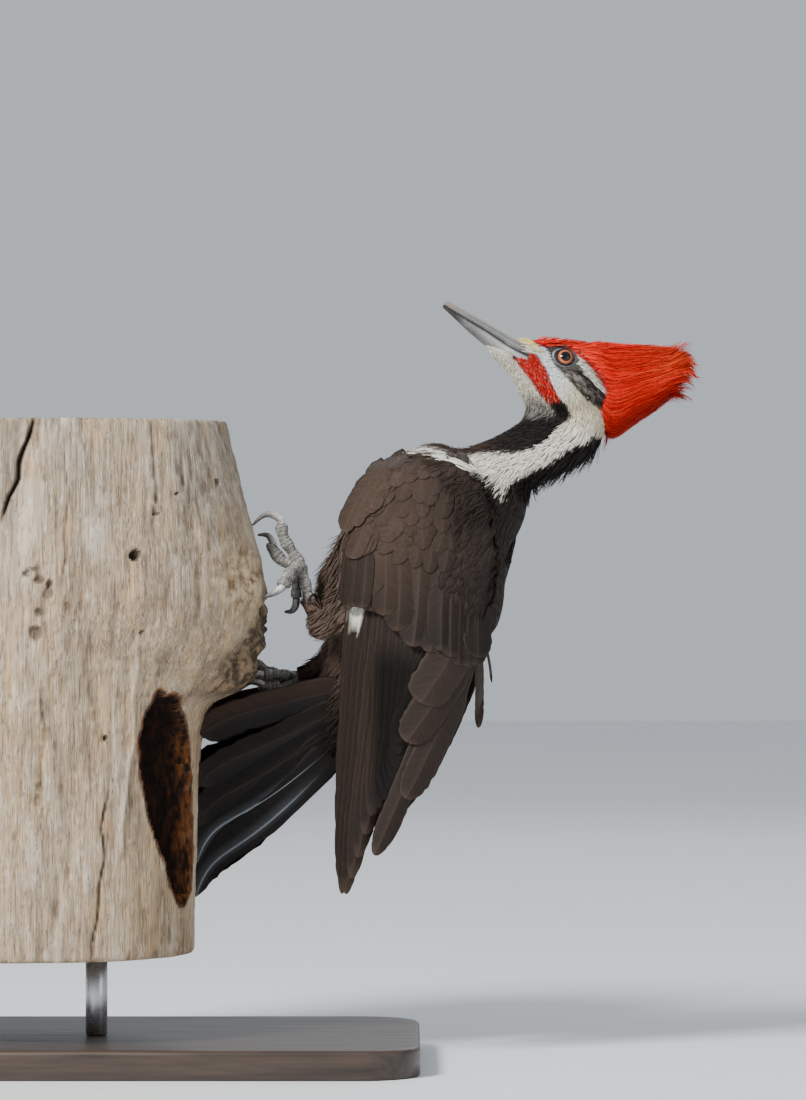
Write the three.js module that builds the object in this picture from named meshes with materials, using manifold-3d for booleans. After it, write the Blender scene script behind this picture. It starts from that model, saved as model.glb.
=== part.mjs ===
// A male pileated woodpecker, life size, clinging to a short length of dead trunk on a plain display stand.
// Millimetres, +Z up. The origin is the centre of the stand base's underside.
// The trunk is on the -X side, the bird's back faces +X and its left side faces -Y.
import * as THREE from "three";
import Module from "manifold-3d";

const wasm = await Module();
wasm.setup();

// ---------------------------------------------------------------- driving dimensions

const GAP = 0.3; // clearance between neighbouring pieces
const BASE = { length: 330, width: 220, height: 16, corner: 34, bevel: 2.5 };
const ROD = { radius: 6, spacing: 84, sides: 16 };

// The length of trunk: a fluted column with a swelling on the bird's side that ends in a ledge.
const LOG = { x: -54, y: -15, radius: 96, bottom: 62, top: 352, spread: 0.85, sides: 26, rows: 15 };
const SWELLING = [
  // height, how far the surface stands out past the column
  [62, 0],
  [144, 1.9],
  [182, 5],
  [198, 11],
  [205, 27],
  [218, 36],
  [238, 40.2],
  [262, 40],
  [290, 33.5],
  [320, 25],
  [352, 18.5],
];
const HOLLOW = { angle: 34, height: 144, tall: 59, wide: 27, deep: 25 }; // angle from +X towards -Y

// Stations along the back from the tail coverts to the nape: x, z, half depth, half width.
const SPINE = [
  [104, 172, 7, 4],
  [112, 179, 17, 9],
  [123, 188, 24, 14],
  [135, 199, 30, 19],
  [146, 212, 36, 25],
  [155, 229, 43, 33],
  [159.8, 252.5, 51.5, 41],
  [168.9, 280.5, 50, 44],
  [183.5, 300.9, 46, 41],
  [200.9, 313.6, 33, 31],
  [215.1, 327.2, 20, 21.5],
  [231.6, 337.2, 19.5, 18.5],
  [247.5, 348.7, 20, 18],
  [257.4, 363, 17, 15],
];
const SPINE_MESH = { rows: 18, sides: 16 };
const TAIL_CUT = { x: 131, z: 195, lean: 43 }; // where the tail coverts meet the trunk
const NECK_CUT = { x: 215, z: 327, lean: 26 }; // where the trunk meets the neck
const HEAD_CUT = { x: 245, z: 350, lean: 66 }; // where the neck meets the head

// The head's own frame: x towards the bill's tip, y to the bird's left, z to its crown.
const HEAD = { x: 245.3, y: 0, z: 379.5, pitch: 30.5, roll: 20 };
const SKULL = [
  // x, crown height, throat height, half width
  [47.5, -6.4, -8.4, 1.6],
  [40, -5, -11.6, 4.6],
  [33, -1.6, -14.6, 7.4],
  [28, 3.6, -17, 9],
  [21, 8, -20.5, 11],
  [12, 12.6, -24, 13.4],
  [3, 16.8, -26, 15.4],
  [-9, 20.5, -26, 18],
  [-20, 19, -20, 16.5],
  [-29, 13, -12, 12],
  [-35, 5, -4, 5],
];
const SKULL_MESH = { rows: 11, sides: 14 };
const EYE = { x: 3.9, y: 10.6, z: 1.75, radius: 6.2 };
const BILL = [
  // x, gape height, upper height, lower depth, half width
  [16, -4.2, 8.2, 7.6, 7.8],
  [29, -3.9, 6.9, 6.8, 7],
  [38, -3.5, 5.8, 6.1, 6],
  [49, -3.1, 5, 4.9, 4.8],
  [64, -2.5, 4.1, 3.2, 3.2],
  [74, -2.1, 2.5, 1.4, 1.8],
];
const BILL_TIP = { upper: 3.6, lower: 1.4 }; // how far each half runs on past its last station
const CREST = [
  // x, y, z, half height, half width, from inside the crown to the swept tip
  [254, 0, 379.5, 15, 14],
  [263, 0.5, 374, 21, 15],
  [271, 1.5, 368.5, 25.5, 14.5],
  [286, 5, 370.7, 22, 10.5],
  [299, 9, 375.1, 16.5, 7],
  [310, 12.5, 380.6, 9, 4],
  [317, 15, 385, 3, 1.5],
];

// The surface that each folded wing is draped over: height, centre x, half depth, half width.
const ENVELOPE = [
  [342, 177, 14, 15],
  [337, 176, 26, 25],
  [325.6, 173.8, 46, 38],
  [309.1, 170.5, 53, 45],
  [281.6, 168.9, 55.5, 49],
  [254.1, 161.7, 56, 48],
  [226.6, 156.8, 54, 43],
  [199.1, 152.9, 49.5, 36],
  [171.6, 147.4, 43, 29],
  [144.1, 140.2, 34, 23],
  [116.6, 133.1, 25, 18],
  [86, 126.5, 18, 14],
];
// Side outline of the wing coverts, as x and z, from the shoulder down.
const COVERT_FRONT = [[169.4, 336.6], [142, 324], [125.4, 295.4], [121.6, 267.9], [125, 245]];
const COVERT_BACK = [[179.3, 333.9], [196.9, 320.1], [207.9, 292.6], [206, 254], [190, 219]];
const COVERT_MESH = { rows: 8, across: 5 };
// Flight feathers: x and z of the first and last root, three places that the tips pass, width,
// the lift of the first feather off the draped surface and the lift added by each next one.
const PRIMARIES = {
  count: 4,
  roots: [[127, 262], [145, 255]],
  tips: [[119, 101], [121.8, 93], [139, 134]],
  width: 16,
  lift: -5.6,
  step: 0.45,
};
const SECONDARIES = {
  count: 3,
  roots: [[147, 256], [172, 236]],
  tips: [[143, 134.5], [151, 141], [155.5, 164]],
  width: 22,
  lift: -2.6,
  step: 0.55,
};
const TERTIALS = [
  // root, tip, width, lift
  { root: [182, 215], tip: [140.8, 113.4], width: 14, lift: -0.95 },
  { root: [191, 228], tip: [155.5, 145], width: 30, lift: -0.4 },
  { root: [189, 240], tip: [156.3, 178], width: 27, lift: 0.15 },
];
const VANE = { thickness: 1.1, rows: [0, 0.4, 0.84, 1] };
const FAR_WING = { turn: -2.8, shrink: 0.95, x: 0, z: 1 }; // how the right wing differs from the left

// Tail feathers of one side, from the middle pair outwards: tip x, y and z, lengthwise bow.
const RECTRICES = [
  { tip: [43.2, 3.5, 91], bow: -4, inner: 7, outer: 15 },
  { tip: [44, 10, 110], bow: -2, inner: 10, outer: 13 },
  { tip: [44.8, 17, 130.4], bow: 2, inner: 11, outer: 12 },
  { tip: [46, 24, 152.4], bow: 5, inner: 11, outer: 9 },
  { tip: [48.4, 30, 180], bow: 9, inner: 11, outer: 9 },
];
const TAIL_ROOT = { x: 154, y: 2, z: 208, apart: 1.5 };
const TAIL_STEP = 0.7; // each outer feather lies this much further in than its neighbour

// Each leg: hip, heel and the joint of the toes, and how far each toe is turned up towards the log.
const LEGS = {
  left: { side: -1, hip: [133, 22, 256], heel: [108.5, 25, 238], toes: [99.8, 26, 273.4], turns: [0, 0, 0, 0] },
  right: { side: 1, hip: [133, 20, 236], heel: [112, 15, 217], toes: [97, 14, 210.5], turns: [-90, 45, 45, -50] },
};
const THIGH = { hip: 17, middle: 12.5, heel: 6, cuff: 3.9, cuffShare: 0.5 };
const TARSUS_RADIUS = 2.8;
// Toes from their joint, and claws, as steps x, outwards and up; each claw's last point meets the log.
const TOES = [
  {
    name: "toe_1",
    thick: 2.4,
    toe: [[-2.4, -6, -6.1], [-2.4, -9, -18.2]],
    claw: [[-3, -10, -22.6], [-5.2, -10.6, -25.3], [-9, -11, -25.6]],
    grips: false,
  },
  {
    name: "toe_2",
    thick: 2.9,
    toe: [[-9, -5, 1.6], [-15.1, -8, 8.2], [-15.4, -9, 10.4]],
    claw: [[-15.6, -9.6, 12.4], [-18.6, -10.6, 16.2], [-24.4, -11, 16.5]],
    grips: true,
  },
  {
    name: "toe_3",
    thick: 2.9,
    toe: [[-5.2, 1, 8.2], [-9, 3, 14.8], [-10.7, 4, 22.5]],
    claw: [[-11, 4.2, 25], [-16.2, 4.6, 27.6], [-20.6, 4.8, 26.4], [-25.6, 5, 21.6]],
    grips: true,
  },
  {
    name: "toe_4",
    thick: 3.3,
    toe: [[-4, 6, -3.6], [-7.4, 10, -7.2], [-9, 12, -11.6]],
    claw: [[-11, 13, -13.4], [-15, 14, -15.8], [-19.5, 14.5, -17.4]],
    grips: true,
  },
];
const KNUCKLE = 0.35;
const CLAW_RADIUS = { root: 1.75, tip: 0.35 };

// ---------------------------------------------------------------- materials

const finish = (color, roughness, metalness = 0) =>
  new THREE.MeshStandardMaterial({ color, roughness, metalness });
const BLACK_PLUMAGE = finish(0x2b2422, 0.75);
const RED_CREST = finish(0xd81f10, 0.7);
const CHEEK = finish(0xd9d2c0, 0.8);
const FLIGHT = finish(0x241e1c, 0.6);
const HORN = finish(0x6d6a66, 0.45);
const EYE_GLASS = finish(0xb5502a, 0.1);
const SCALY_SKIN = finish(0x9a958c, 0.7);
const CLAW_HORN = finish(0x4a4846, 0.4);
const DEAD_WOOD = finish(0x8f8272, 0.9);
const STAND_WOOD = finish(0x2a2320, 0.5);
const STAND_STEEL = finish(0x8a8a8a, 0.35, 1);

// ---------------------------------------------------------------- shape helpers

const vec = (x, y, z) => new THREE.Vector3(x, y, z);
const rad = THREE.MathUtils.degToRad;
const mix = THREE.MathUtils.lerp;

const catmull = (a, b, c, d, f) =>
  b + 0.5 * f * (c - a + f * (2 * a - 5 * b + 4 * c - d + f * (3 * (b - c) + d - a)));

// The row of a table at share t of its length, as a smooth curve through its rows.
function along(table, t) {
  const last = table.length - 1;
  const place = THREE.MathUtils.clamp(t, 0, 1) * last;
  const i = Math.min(Math.floor(place), last - 1);
  const rows = [i - 1, i, i + 1, i + 2].map((k) => table[THREE.MathUtils.clamp(k, 0, last)]);
  return table[0].map((_, k) => catmull(...rows.map((row) => row[k]), place - i));
}

// The row of a table whose first column reads value.
function lookup(table, value) {
  const rising = table[1][0] > table[0][0] ? 1 : -1;
  const i = Math.max(1, table.findIndex((row) => rising * row[0] >= rising * value));
  const end = rising * table.at(-1)[0] < rising * value ? table.length - 1 : i;
  const share = (value - table[end - 1][0]) / (table[end][0] - table[end - 1][0]);
  return along(table, (end - 1 + THREE.MathUtils.clamp(share, 0, 1)) / (table.length - 1));
}

// A closed solid from points and triangles, turned so that its faces point out.
function closed(points, faces) {
  let volume = 0;
  for (let i = 0; i < faces.length; i += 3) {
    const [a, b, c] = [points[faces[i]], points[faces[i + 1]], points[faces[i + 2]]];
    volume += a.dot(b.clone().cross(c));
  }
  const triVerts = Uint32Array.from(volume < 0 ? faces.toReversed() : faces);
  const vertProperties = Float32Array.from(points.flatMap((p) => p.toArray()));
  return new wasm.Manifold(new wasm.Mesh({ numProp: 3, vertProperties, triVerts }));
}

// A solid through rings of points, each end closed by a zigzag of triangles.
function loft(rings) {
  const sides = rings[0].length;
  const points = rings.flat();
  const faces = [];
  for (let i = 0; i + 1 < rings.length; i++)
    for (let j = 0; j < sides; j++) {
      const [a, b] = [i * sides + j, i * sides + ((j + 1) % sides)];
      faces.push(a, b, b + sides, a, b + sides, a + sides);
    }
  for (const [start, first] of [[0, true], [points.length - sides, false]]) {
    const cap = [];
    for (let [low, high] = [start, start + sides - 1]; high - low > 1; ) {
      cap.push(low, ++low, high);
      if (high - low > 1) cap.push(low, high - 1, high--);
    }
    faces.push(...(first ? cap.toReversed() : cap));
  }
  return closed(points, faces);
}

// Points of an ellipse about a centre, along two directions.
const ellipse = (centre, u, v, a, b, sides) =>
  Array.from({ length: sides }, (_, i) => {
    const turn = (2 * Math.PI * i) / sides;
    return centre.clone().addScaledVector(u, a * Math.cos(turn)).addScaledVector(v, b * Math.sin(turn));
  });

// A round solid along a smooth path, with its radius as a function of the share of its length.
function tube(path, radius, sides, rows) {
  const curve = new THREE.CatmullRomCurve3(path);
  const frames = curve.computeFrenetFrames(rows, false);
  return loft(
    Array.from({ length: rows + 1 }, (_, i) => {
      const size = radius(i / rows);
      return ellipse(curve.getPointAt(i / rows), frames.normals[i], frames.binormals[i], size, size, sides);
    }),
  );
}

// The largest of a solid's separate bodies.
const largest = (solid) =>
  solid.decompose().reduce((best, body) => (body.volume() > best.volume() ? body : best));

// The part of a solid on one side of a plane square to the XZ plane; lean turns it from facing +X up to +Z.
function cutAt(solid, cut, keepAbove, clearance = GAP / 2) {
  const way = keepAbove ? 1 : -1;
  const normal = [way * Math.cos(rad(cut.lean)), 0, way * Math.sin(rad(cut.lean))];
  return solid.trimByPlane(normal, normal[0] * cut.x + normal[2] * cut.z + clearance);
}

function mesh(name, solid, material) {
  const made = largest(solid.simplify(0.08)).getMesh();
  const geometry = new THREE.BufferGeometry();
  geometry.setAttribute("position", new THREE.BufferAttribute(made.vertProperties, 3));
  geometry.setIndex(new THREE.BufferAttribute(made.triVerts, 1));
  const shown = new THREE.Mesh(geometry, material);
  shown.name = name;
  return shown;
}

// ---------------------------------------------------------------- trunk length and stand

// Radius of the log's surface; the angle runs from +X towards -Y.
function logRadius(angle, z) {
  const flutes = 1.8 * Math.sin(3 * angle) + 1.1 * Math.sin(7 * angle + z / 60) * Math.sin(angle) ** 2;
  return LOG.radius + flutes + lookup(SWELLING, z)[1] * Math.exp(-((angle / LOG.spread) ** 2));
}

// X of the log's surface on the bird's side.
function logFace(y, z) {
  const aside = LOG.y - y;
  let radius = LOG.radius;
  for (let i = 0; i < 6; i++) radius = logRadius(Math.asin(aside / radius), z);
  return LOG.x + Math.sqrt(radius ** 2 - aside ** 2);
}

function logSolid(grow = 0) {
  const heights = Array.from({ length: LOG.rows }, (_, i) => mix(LOG.bottom, LOG.top, i / (LOG.rows - 1)));
  const column = loft(
    heights.map((z) =>
      Array.from({ length: LOG.sides }, (_, i) => {
        const angle = Math.PI * ((2 * i) / LOG.sides - 1);
        const radius = logRadius(angle, z) + grow;
        return vec(LOG.x + radius * Math.cos(angle), LOG.y - radius * Math.sin(angle), z);
      }),
    ),
  );
  const turn = rad(HOLLOW.angle);
  const out = vec(Math.cos(turn), -Math.sin(turn), 0);
  const aside = vec(Math.sin(turn), Math.cos(turn), 0);
  const mouth = vec(LOG.x, LOG.y, HOLLOW.height).addScaledVector(out, LOG.radius + 3);
  const rings = [-0.98, -0.7, -0.25, 0.25, 0.7, 0.98].map((share) => {
    const size = Math.sqrt(1 - share ** 2);
    const centre = mouth.clone().add(vec(0, 0, share * HOLLOW.tall));
    return ellipse(centre, out, aside, HOLLOW.deep * size, HOLLOW.wide * size, 12);
  });
  return column.subtract(loft(rings));
}

function baseSolid() {
  const { length, width, height, corner, bevel } = BASE;
  const [a, b, r] = [length / 2 - bevel, width / 2 - bevel, corner];
  const outline = new THREE.Shape();
  outline.absarc(a - r, b - r, r, 0, Math.PI / 2);
  outline.absarc(r - a, b - r, r, Math.PI / 2, Math.PI);
  outline.absarc(r - a, r - b, r, Math.PI, 1.5 * Math.PI);
  outline.absarc(a - r, r - b, r, 1.5 * Math.PI, 2 * Math.PI);
  const points = outline.getPoints(4).slice(0, -1);
  const levels = [[0, bevel], [height - bevel, bevel], [height, 0]];
  const ring = ([z, grow]) =>
    points.map((p) => {
      const centre = vec(Math.sign(p.x) * (a - r), Math.sign(p.y) * (b - r), z);
      const outwards = vec(p.x, p.y, z).sub(centre).setLength(r + grow);
      return centre.add(outwards);
    });
  return loft(levels.map(ring));
}

function rodSolid(side) {
  const x = LOG.x + (side * ROD.spacing) / 2;
  const ends = [BASE.height + GAP, LOG.bottom - GAP];
  return loft(ends.map((z) => ellipse(vec(x, LOG.y, z), vec(1, 0, 0), vec(0, 1, 0), ROD.radius, ROD.radius, ROD.sides)));
}

// ---------------------------------------------------------------- head, neck and trunk

const headTurn = new THREE.Matrix4().makeBasis(
  vec(-Math.cos(rad(HEAD.pitch)), 0, Math.sin(rad(HEAD.pitch))),
  vec(0, -1, 0),
  vec(Math.sin(rad(HEAD.pitch)), 0, Math.cos(rad(HEAD.pitch))),
);
const HEAD_FRAME = new THREE.Matrix4()
  .makeTranslation(HEAD.x, HEAD.y, HEAD.z)
  .multiply(headTurn)
  .multiply(new THREE.Matrix4().makeRotationX(rad(HEAD.roll)));
const inHead = (x, y, z) => vec(x, y, z).applyMatrix4(HEAD_FRAME);

function spineSolid(grow) {
  const { rows, sides } = SPINE_MESH;
  return loft(
    Array.from({ length: rows + 1 }, (_, i) => {
      const [x, z, depth, width] = along(SPINE, i / rows);
      const [x0, z0] = along(SPINE, (i - 0.3) / rows);
      const [x1, z1] = along(SPINE, (i + 0.3) / rows);
      const square = vec(z1 - z0, 0, x0 - x1).normalize();
      return ellipse(vec(x, 0, z), square, vec(0, 1, 0), depth + grow, width + grow, sides);
    }),
  );
}

function skullSolid(grow) {
  const { rows, sides } = SKULL_MESH;
  const up = inHead(0, 0, 1).sub(inHead(0, 0, 0));
  const left = inHead(0, 1, 0).sub(inHead(0, 0, 0));
  return loft(
    Array.from({ length: rows + 1 }, (_, i) => {
      const [x, crown, throat, width] = along(SKULL, i / rows);
      const half = (crown - throat) / 2 + grow;
      return ellipse(inHead(x, 0, (crown + throat) / 2), up, left, half, width + grow, sides);
    }),
  );
}

const body = (grow = 0) => spineSolid(grow).add(skullSolid(grow));

function crestSolid() {
  return loft(CREST.map(([x, y, z, half, width]) => ellipse(vec(x, y, z), vec(0, 0, 1), vec(0, 1, 0), half, width, 12)));
}

function eyeSolid(side, grow = 0) {
  const ball = new THREE.SphereGeometry(EYE.radius + grow, 10, 7);
  const rings = [];
  const place = ball.getAttribute("position");
  for (let row = 1; row < 7; row++)
    rings.push(
      Array.from({ length: 10 }, (_, i) => {
        const k = row * 11 + i;
        return inHead(EYE.x + place.getX(k), side * EYE.y + place.getY(k), EYE.z + place.getZ(k));
      }),
    );
  return loft(rings);
}

// One half of the bill, a half-round section; way is 1 for the upper half and -1 for the lower.
function billSolid(way) {
  const column = way > 0 ? 2 : 3;
  const run = way > 0 ? BILL_TIP.upper : BILL_TIP.lower;
  const stations = BILL.map((row) => ({ x: row[0], gape: row[1], tall: row[column], wide: row[4] }));
  const last = stations.at(-1);
  stations.push({ x: last.x + run, gape: last.gape, tall: 0.5, wide: 0.9 });
  return loft(
    stations.map(({ x, gape, tall, wide }) =>
      [0, 0.14, 0.34, 0.5, 0.66, 0.86, 1].map((turn) => {
        const angle = Math.PI * turn;
        return inHead(x, wide * Math.cos(angle), gape + way * (GAP / 2 + tall * Math.sin(angle)));
      }),
    ),
  );
}

// ---------------------------------------------------------------- wings

// A point on the draped wing surface at side place x, z, raised by lift; side is -1 for the left wing.
function drape(x, z, lift, side) {
  let [px, pz] = [x, z];
  if (side > 0) {
    const [sx, sz] = COVERT_FRONT[0];
    const [dx, dz] = [(x - sx) * FAR_WING.shrink, (z - sz) * FAR_WING.shrink];
    const turn = rad(FAR_WING.turn);
    px = sx + FAR_WING.x + dx * Math.cos(turn) + dz * Math.sin(turn);
    pz = sz + FAR_WING.z - dx * Math.sin(turn) + dz * Math.cos(turn);
  }
  const [, centre, depth, width] = lookup(ENVELOPE, pz);
  const share = THREE.MathUtils.clamp((px - centre) / depth, -0.985, 0.985);
  const out = width * Math.sqrt(1 - share ** 2);
  const normal = vec((px - centre) / depth ** 2, (side * out) / width ** 2, 0).normalize();
  return vec(px, side * out, pz).addScaledVector(normal, lift);
}

function covertSolid(side, grow = 0) {
  const { rows, across } = COVERT_MESH;
  const rings = Array.from({ length: rows + 1 }, (_, i) => {
    const t = i / rows;
    const [front, back] = [along(COVERT_FRONT, t), along(COVERT_BACK, t)];
    const end = Math.sin(Math.PI * (0.1 + 0.84 * t));
    const ring = [];
    for (const way of [1, -1])
      for (let j = 0; j <= across; j++) {
        const u = way > 0 ? j / across : 1 - j / across;
        const dome = Math.sqrt(Math.sin(Math.PI * mix(0.02, 0.98, u))) * end;
        const lift = way > 0 ? 0.8 + 2.2 * dome + grow : -0.4 - 5 * dome - grow;
        const wide = u + (grow * (2 * u - 1)) / 40;
        ring.push(drape(mix(front[0], back[0], wide), mix(front[1], back[1], wide), lift, side));
      }
    return ring;
  });
  for (const [end, next] of [[0, 1], [rows, rows - 1]]) {
    const away = rings[end][2].clone().sub(rings[next][2]).setLength(grow);
    rings[end].forEach((p) => p.add(away));
  }
  return loft(rings);
}

// How wide a vane is along its length, as a share of its full width.
const vaneOutline = (t) => Math.min(1, 0.5 + 1.6 * t) * Math.sqrt(Math.max(0.05, 1 - Math.max(0, (t - 0.8) / 0.205) ** 2));

// A feather laid on the draped wing surface.
function wingVane({ root, tip, width, lift, bend = 0 }, side, grow) {
  const way = new THREE.Vector2(tip[0] - root[0], tip[1] - root[1]);
  const aside = new THREE.Vector2(-way.y, way.x).normalize();
  const half = VANE.thickness / 2 + grow;
  return loft(
    VANE.rows.map((t) => {
      const shift = 4 * bend * t * (1 - t);
      const reach = t + (grow * (2 * t - 1)) / way.length();
      const [x, z] = [root[0] + way.x * reach + aside.x * shift, root[1] + way.y * reach + aside.y * shift];
      const wide = (width / 2) * vaneOutline(t) + grow;
      const corner = (across, up) => drape(x + aside.x * across, z + aside.y * across, lift + up, side);
      return [
        corner(-wide, -half), corner(0, -half), corner(wide, -half),
        corner(wide, half), corner(0, half), corner(-wide, half),
      ];
    }),
  );
}

function fan({ count, roots, tips, width, lift, step }) {
  return Array.from({ length: count }, (_, i) => {
    const t = i / (count - 1);
    return {
      root: [mix(roots[0][0], roots[1][0], t), mix(roots[0][1], roots[1][1], t)],
      tip: along(tips, t),
      width,
      lift: lift + step * i,
    };
  });
}

const joined = (solids) => solids.reduce((a, b) => a.add(b));
const feathers = (list, side, grow = 0) => joined(list.map((vane) => wingVane(vane, side, grow)));

const wingGrown = (side) => covertSolid(side, 2 * GAP).add(feathers([...fan(PRIMARIES), ...fan(SECONDARIES)], side, GAP));

function wing(side, name, trunk, tail) {
  const coverts = covertSolid(side).subtract(trunk);
  const covered = covertSolid(side, 2 * GAP);
  const upper = [...fan(SECONDARIES), ...TERTIALS];
  const inner = feathers(upper, side).subtract(covered).subtract(trunk).subtract(tail);
  const outer = feathers(fan(PRIMARIES), side)
    .subtract(feathers(upper, side, GAP))
    .subtract(covered)
    .subtract(trunk)
    .subtract(tail);
  return [
    mesh(`wing_${name}_coverts`, coverts, BLACK_PLUMAGE),
    mesh(`wing_${name}_secondaries`, inner, FLIGHT),
    mesh(`wing_${name}_primaries`, outer, FLIGHT),
  ];
}

// ---------------------------------------------------------------- tail

// The five tail feathers of one side, which together make half of a tent braced on the log.
function tailSolid(side, grow = 0) {
  const tips = RECTRICES.map(({ tip: [, y, z] }) => vec(logFace(side * y, z) + 2 * GAP, side * y, z));
  const half = VANE.thickness / 2 + grow;
  const halfTent = joined(
    RECTRICES.map(({ bow, inner, outer }, i) => {
      const root = vec(TAIL_ROOT.x, side * (TAIL_ROOT.y + TAIL_ROOT.apart * i), TAIL_ROOT.z);
      const bowed = tips[i].clone().lerp(root, 0.35).add(vec(0, 0, bow));
      const shaft = new THREE.QuadraticBezierCurve3(root, bowed, tips[i]);
      const inwards = tips[Math.max(i - 1, 0)].clone().sub(tips[Math.min(i + 1, 4)]);
      return loft(
        VANE.rows.map((t) => {
          const along = shaft.getTangent(t);
          const across = inwards.clone().addScaledVector(along, -inwards.dot(along)).normalize();
          const out = along.clone().cross(across).normalize();
          if (out.y * side < 0) out.negate();
          const point = vaneOutline(t) * (1 - 0.35 * t * t);
          const at = (wide, up) =>
            shaft.getPoint(t).addScaledVector(across, wide).addScaledVector(out, up - TAIL_STEP * i);
          const [a, b] = [-outer * point - grow, inner * point + grow];
          return [at(a, -half), at(0, -half), at(b, -half), at(b, half), at(0, half), at(a, half)];
        }),
      );
    }),
  );
  return halfTent.trimByPlane([0, side, 0], GAP / 2 - grow);
}

// ---------------------------------------------------------------- legs

function leg(name, wing, around) {
  const { side, hip, heel, toes, turns } = LEGS[name];
  const place = ([x, y, z]) => vec(x, side * y, z);
  const [top, ankle, knuckles] = [hip, heel, toes].map(place);
  const cuff = ankle.clone().lerp(knuckles, THIGH.cuffShare);
  const drumstick = (grow) =>
    tube([top, top.clone().lerp(ankle, 0.55), ankle], (t) => mix(THIGH.hip, THIGH.heel, t ** 0.8) + grow, 11, 4)
      .add(tube([ankle.clone().lerp(top, 0.12), cuff], (t) => mix(THIGH.heel + 0.6, THIGH.cuff, t) + grow, 9, 2));
  const shank = (grow) => tube([ankle, knuckles], () => TARSUS_RADIUS + grow, 7, 2);

  const stepOf = (turn) => {
    const swing = new THREE.Matrix4().makeRotationY(-rad(turn));
    return ([x, y, z]) => vec(x, side * y, z).applyMatrix4(swing).add(knuckles);
  };
  const toeTube = ({ toe, thick }, i, grow) =>
    tube(
      [knuckles, ...toe.map(stepOf(turns[i]))],
      (t) => thick + KNUCKLE * Math.sin(5 * Math.PI * t) + grow,
      6,
      4,
    );
  const clawTube = ({ toe, claw, grips }, i) => {
    const points = [toe.at(-1), ...claw].map(stepOf(turns[i]));
    const tip = points.at(-1);
    const reach = grips ? logFace(tip.y, tip.z) + 2 * GAP - tip.x : 0;
    points.forEach((p, k) => {
      p.x += reach * (k / (points.length - 1)) ** 1.5;
      if (grips && k > 0 && p !== tip) p.x = Math.max(p.x, logFace(p.y, p.z) + CLAW_RADIUS.root + GAP);
    });
    return tube(points, (t) => mix(CLAW_RADIUS.root, CLAW_RADIUS.tip, t), 6, 6);
  };
  const toeSet = (grow) => joined(TOES.map((toe, i) => toeTube(toe, i, grow)));

  const thigh = drumstick(0).subtract(around).subtract(wing);
  const tarsus = shank(0).subtract(drumstick(GAP)).subtract(around);
  const foot = toeSet(0).subtract(shank(GAP)).subtract(drumstick(GAP));
  return [
    mesh(`thigh_${name}`, thigh, BLACK_PLUMAGE),
    mesh(`tarsus_${name}`, tarsus, SCALY_SKIN),
    mesh(`foot_${name}`, foot.subtract(around), SCALY_SKIN),
    ...TOES.map((toe, i) =>
      mesh(`claw_${name}_${toe.name}`, clawTube(toe, i).subtract(toeSet(GAP)).subtract(around), CLAW_HORN),
    ),
  ];
}

// ---------------------------------------------------------------- the whole part

const log = logSolid();
const logGrown = logSolid(GAP);
const whole = body();
const grown = body(GAP);
const trunkEnd = cutAt(whole, NECK_CUT, false);
const neckEnd = cutAt(cutAt(whole, NECK_CUT, true), HEAD_CUT, false);
const headEnd = cutAt(whole, HEAD_CUT, true)
  .subtract(eyeSolid(1, GAP))
  .subtract(eyeSolid(-1, GAP));
const tailGrown = tailSolid(-1, GAP).add(tailSolid(1, GAP));
const around = logGrown.add(tailGrown).add(grown);

const part = new THREE.Group();
part.add(
  mesh("stand_base", baseSolid(), STAND_WOOD),
  mesh("stand_rod_back", rodSolid(-1), STAND_STEEL),
  mesh("stand_rod_front", rodSolid(1), STAND_STEEL),
  mesh("perch_log", log, DEAD_WOOD),
  mesh("trunk", cutAt(trunkEnd, TAIL_CUT, true), BLACK_PLUMAGE),
  mesh("tail_coverts", cutAt(trunkEnd, TAIL_CUT, false), BLACK_PLUMAGE),
  mesh("neck", neckEnd, BLACK_PLUMAGE),
  mesh("head", headEnd, CHEEK),
  mesh("crest", crestSolid().subtract(grown), RED_CREST),
  mesh("bill_upper", billSolid(1).subtract(grown), HORN),
  mesh("bill_lower", billSolid(-1).subtract(grown), HORN),
  mesh("eye_left", eyeSolid(1), EYE_GLASS),
  mesh("eye_right", eyeSolid(-1), EYE_GLASS),
  mesh("tail_left", tailSolid(-1).subtract(grown).subtract(logGrown), FLIGHT),
  mesh("tail_right", tailSolid(1).subtract(grown).subtract(logGrown), FLIGHT),
  ...wing(-1, "left", grown, tailGrown),
  ...wing(1, "right", grown, tailGrown),
  ...leg("left", wingGrown(-1), around),
  ...leg("right", wingGrown(1), around),
);

export default part;
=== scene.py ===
"""Looks of a life-size male pileated woodpecker on a cut length of trunk, around its packed construction."""

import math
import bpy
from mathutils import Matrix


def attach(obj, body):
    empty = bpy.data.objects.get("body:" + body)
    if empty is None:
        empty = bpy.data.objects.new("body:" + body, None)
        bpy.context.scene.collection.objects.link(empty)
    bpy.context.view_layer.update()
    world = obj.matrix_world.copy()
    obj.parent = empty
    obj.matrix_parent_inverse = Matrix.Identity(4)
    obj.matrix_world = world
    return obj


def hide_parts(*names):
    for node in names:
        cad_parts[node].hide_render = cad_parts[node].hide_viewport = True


bl_info = {
    "name": "Pileated Woodpecker Model",
    "version": (1, 0, 0),
    "blender": (4, 5, 0),
    "location": "View3D > Sidebar > Woodpecker",
    "description": "Skin, feathers, bill, eyes, feet, trunk and stand of a museum woodpecker",
    "category": "Object",
}

import bpy
import numpy as np
from bpy.props import FloatProperty, FloatVectorProperty, IntProperty, PointerProperty

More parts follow.
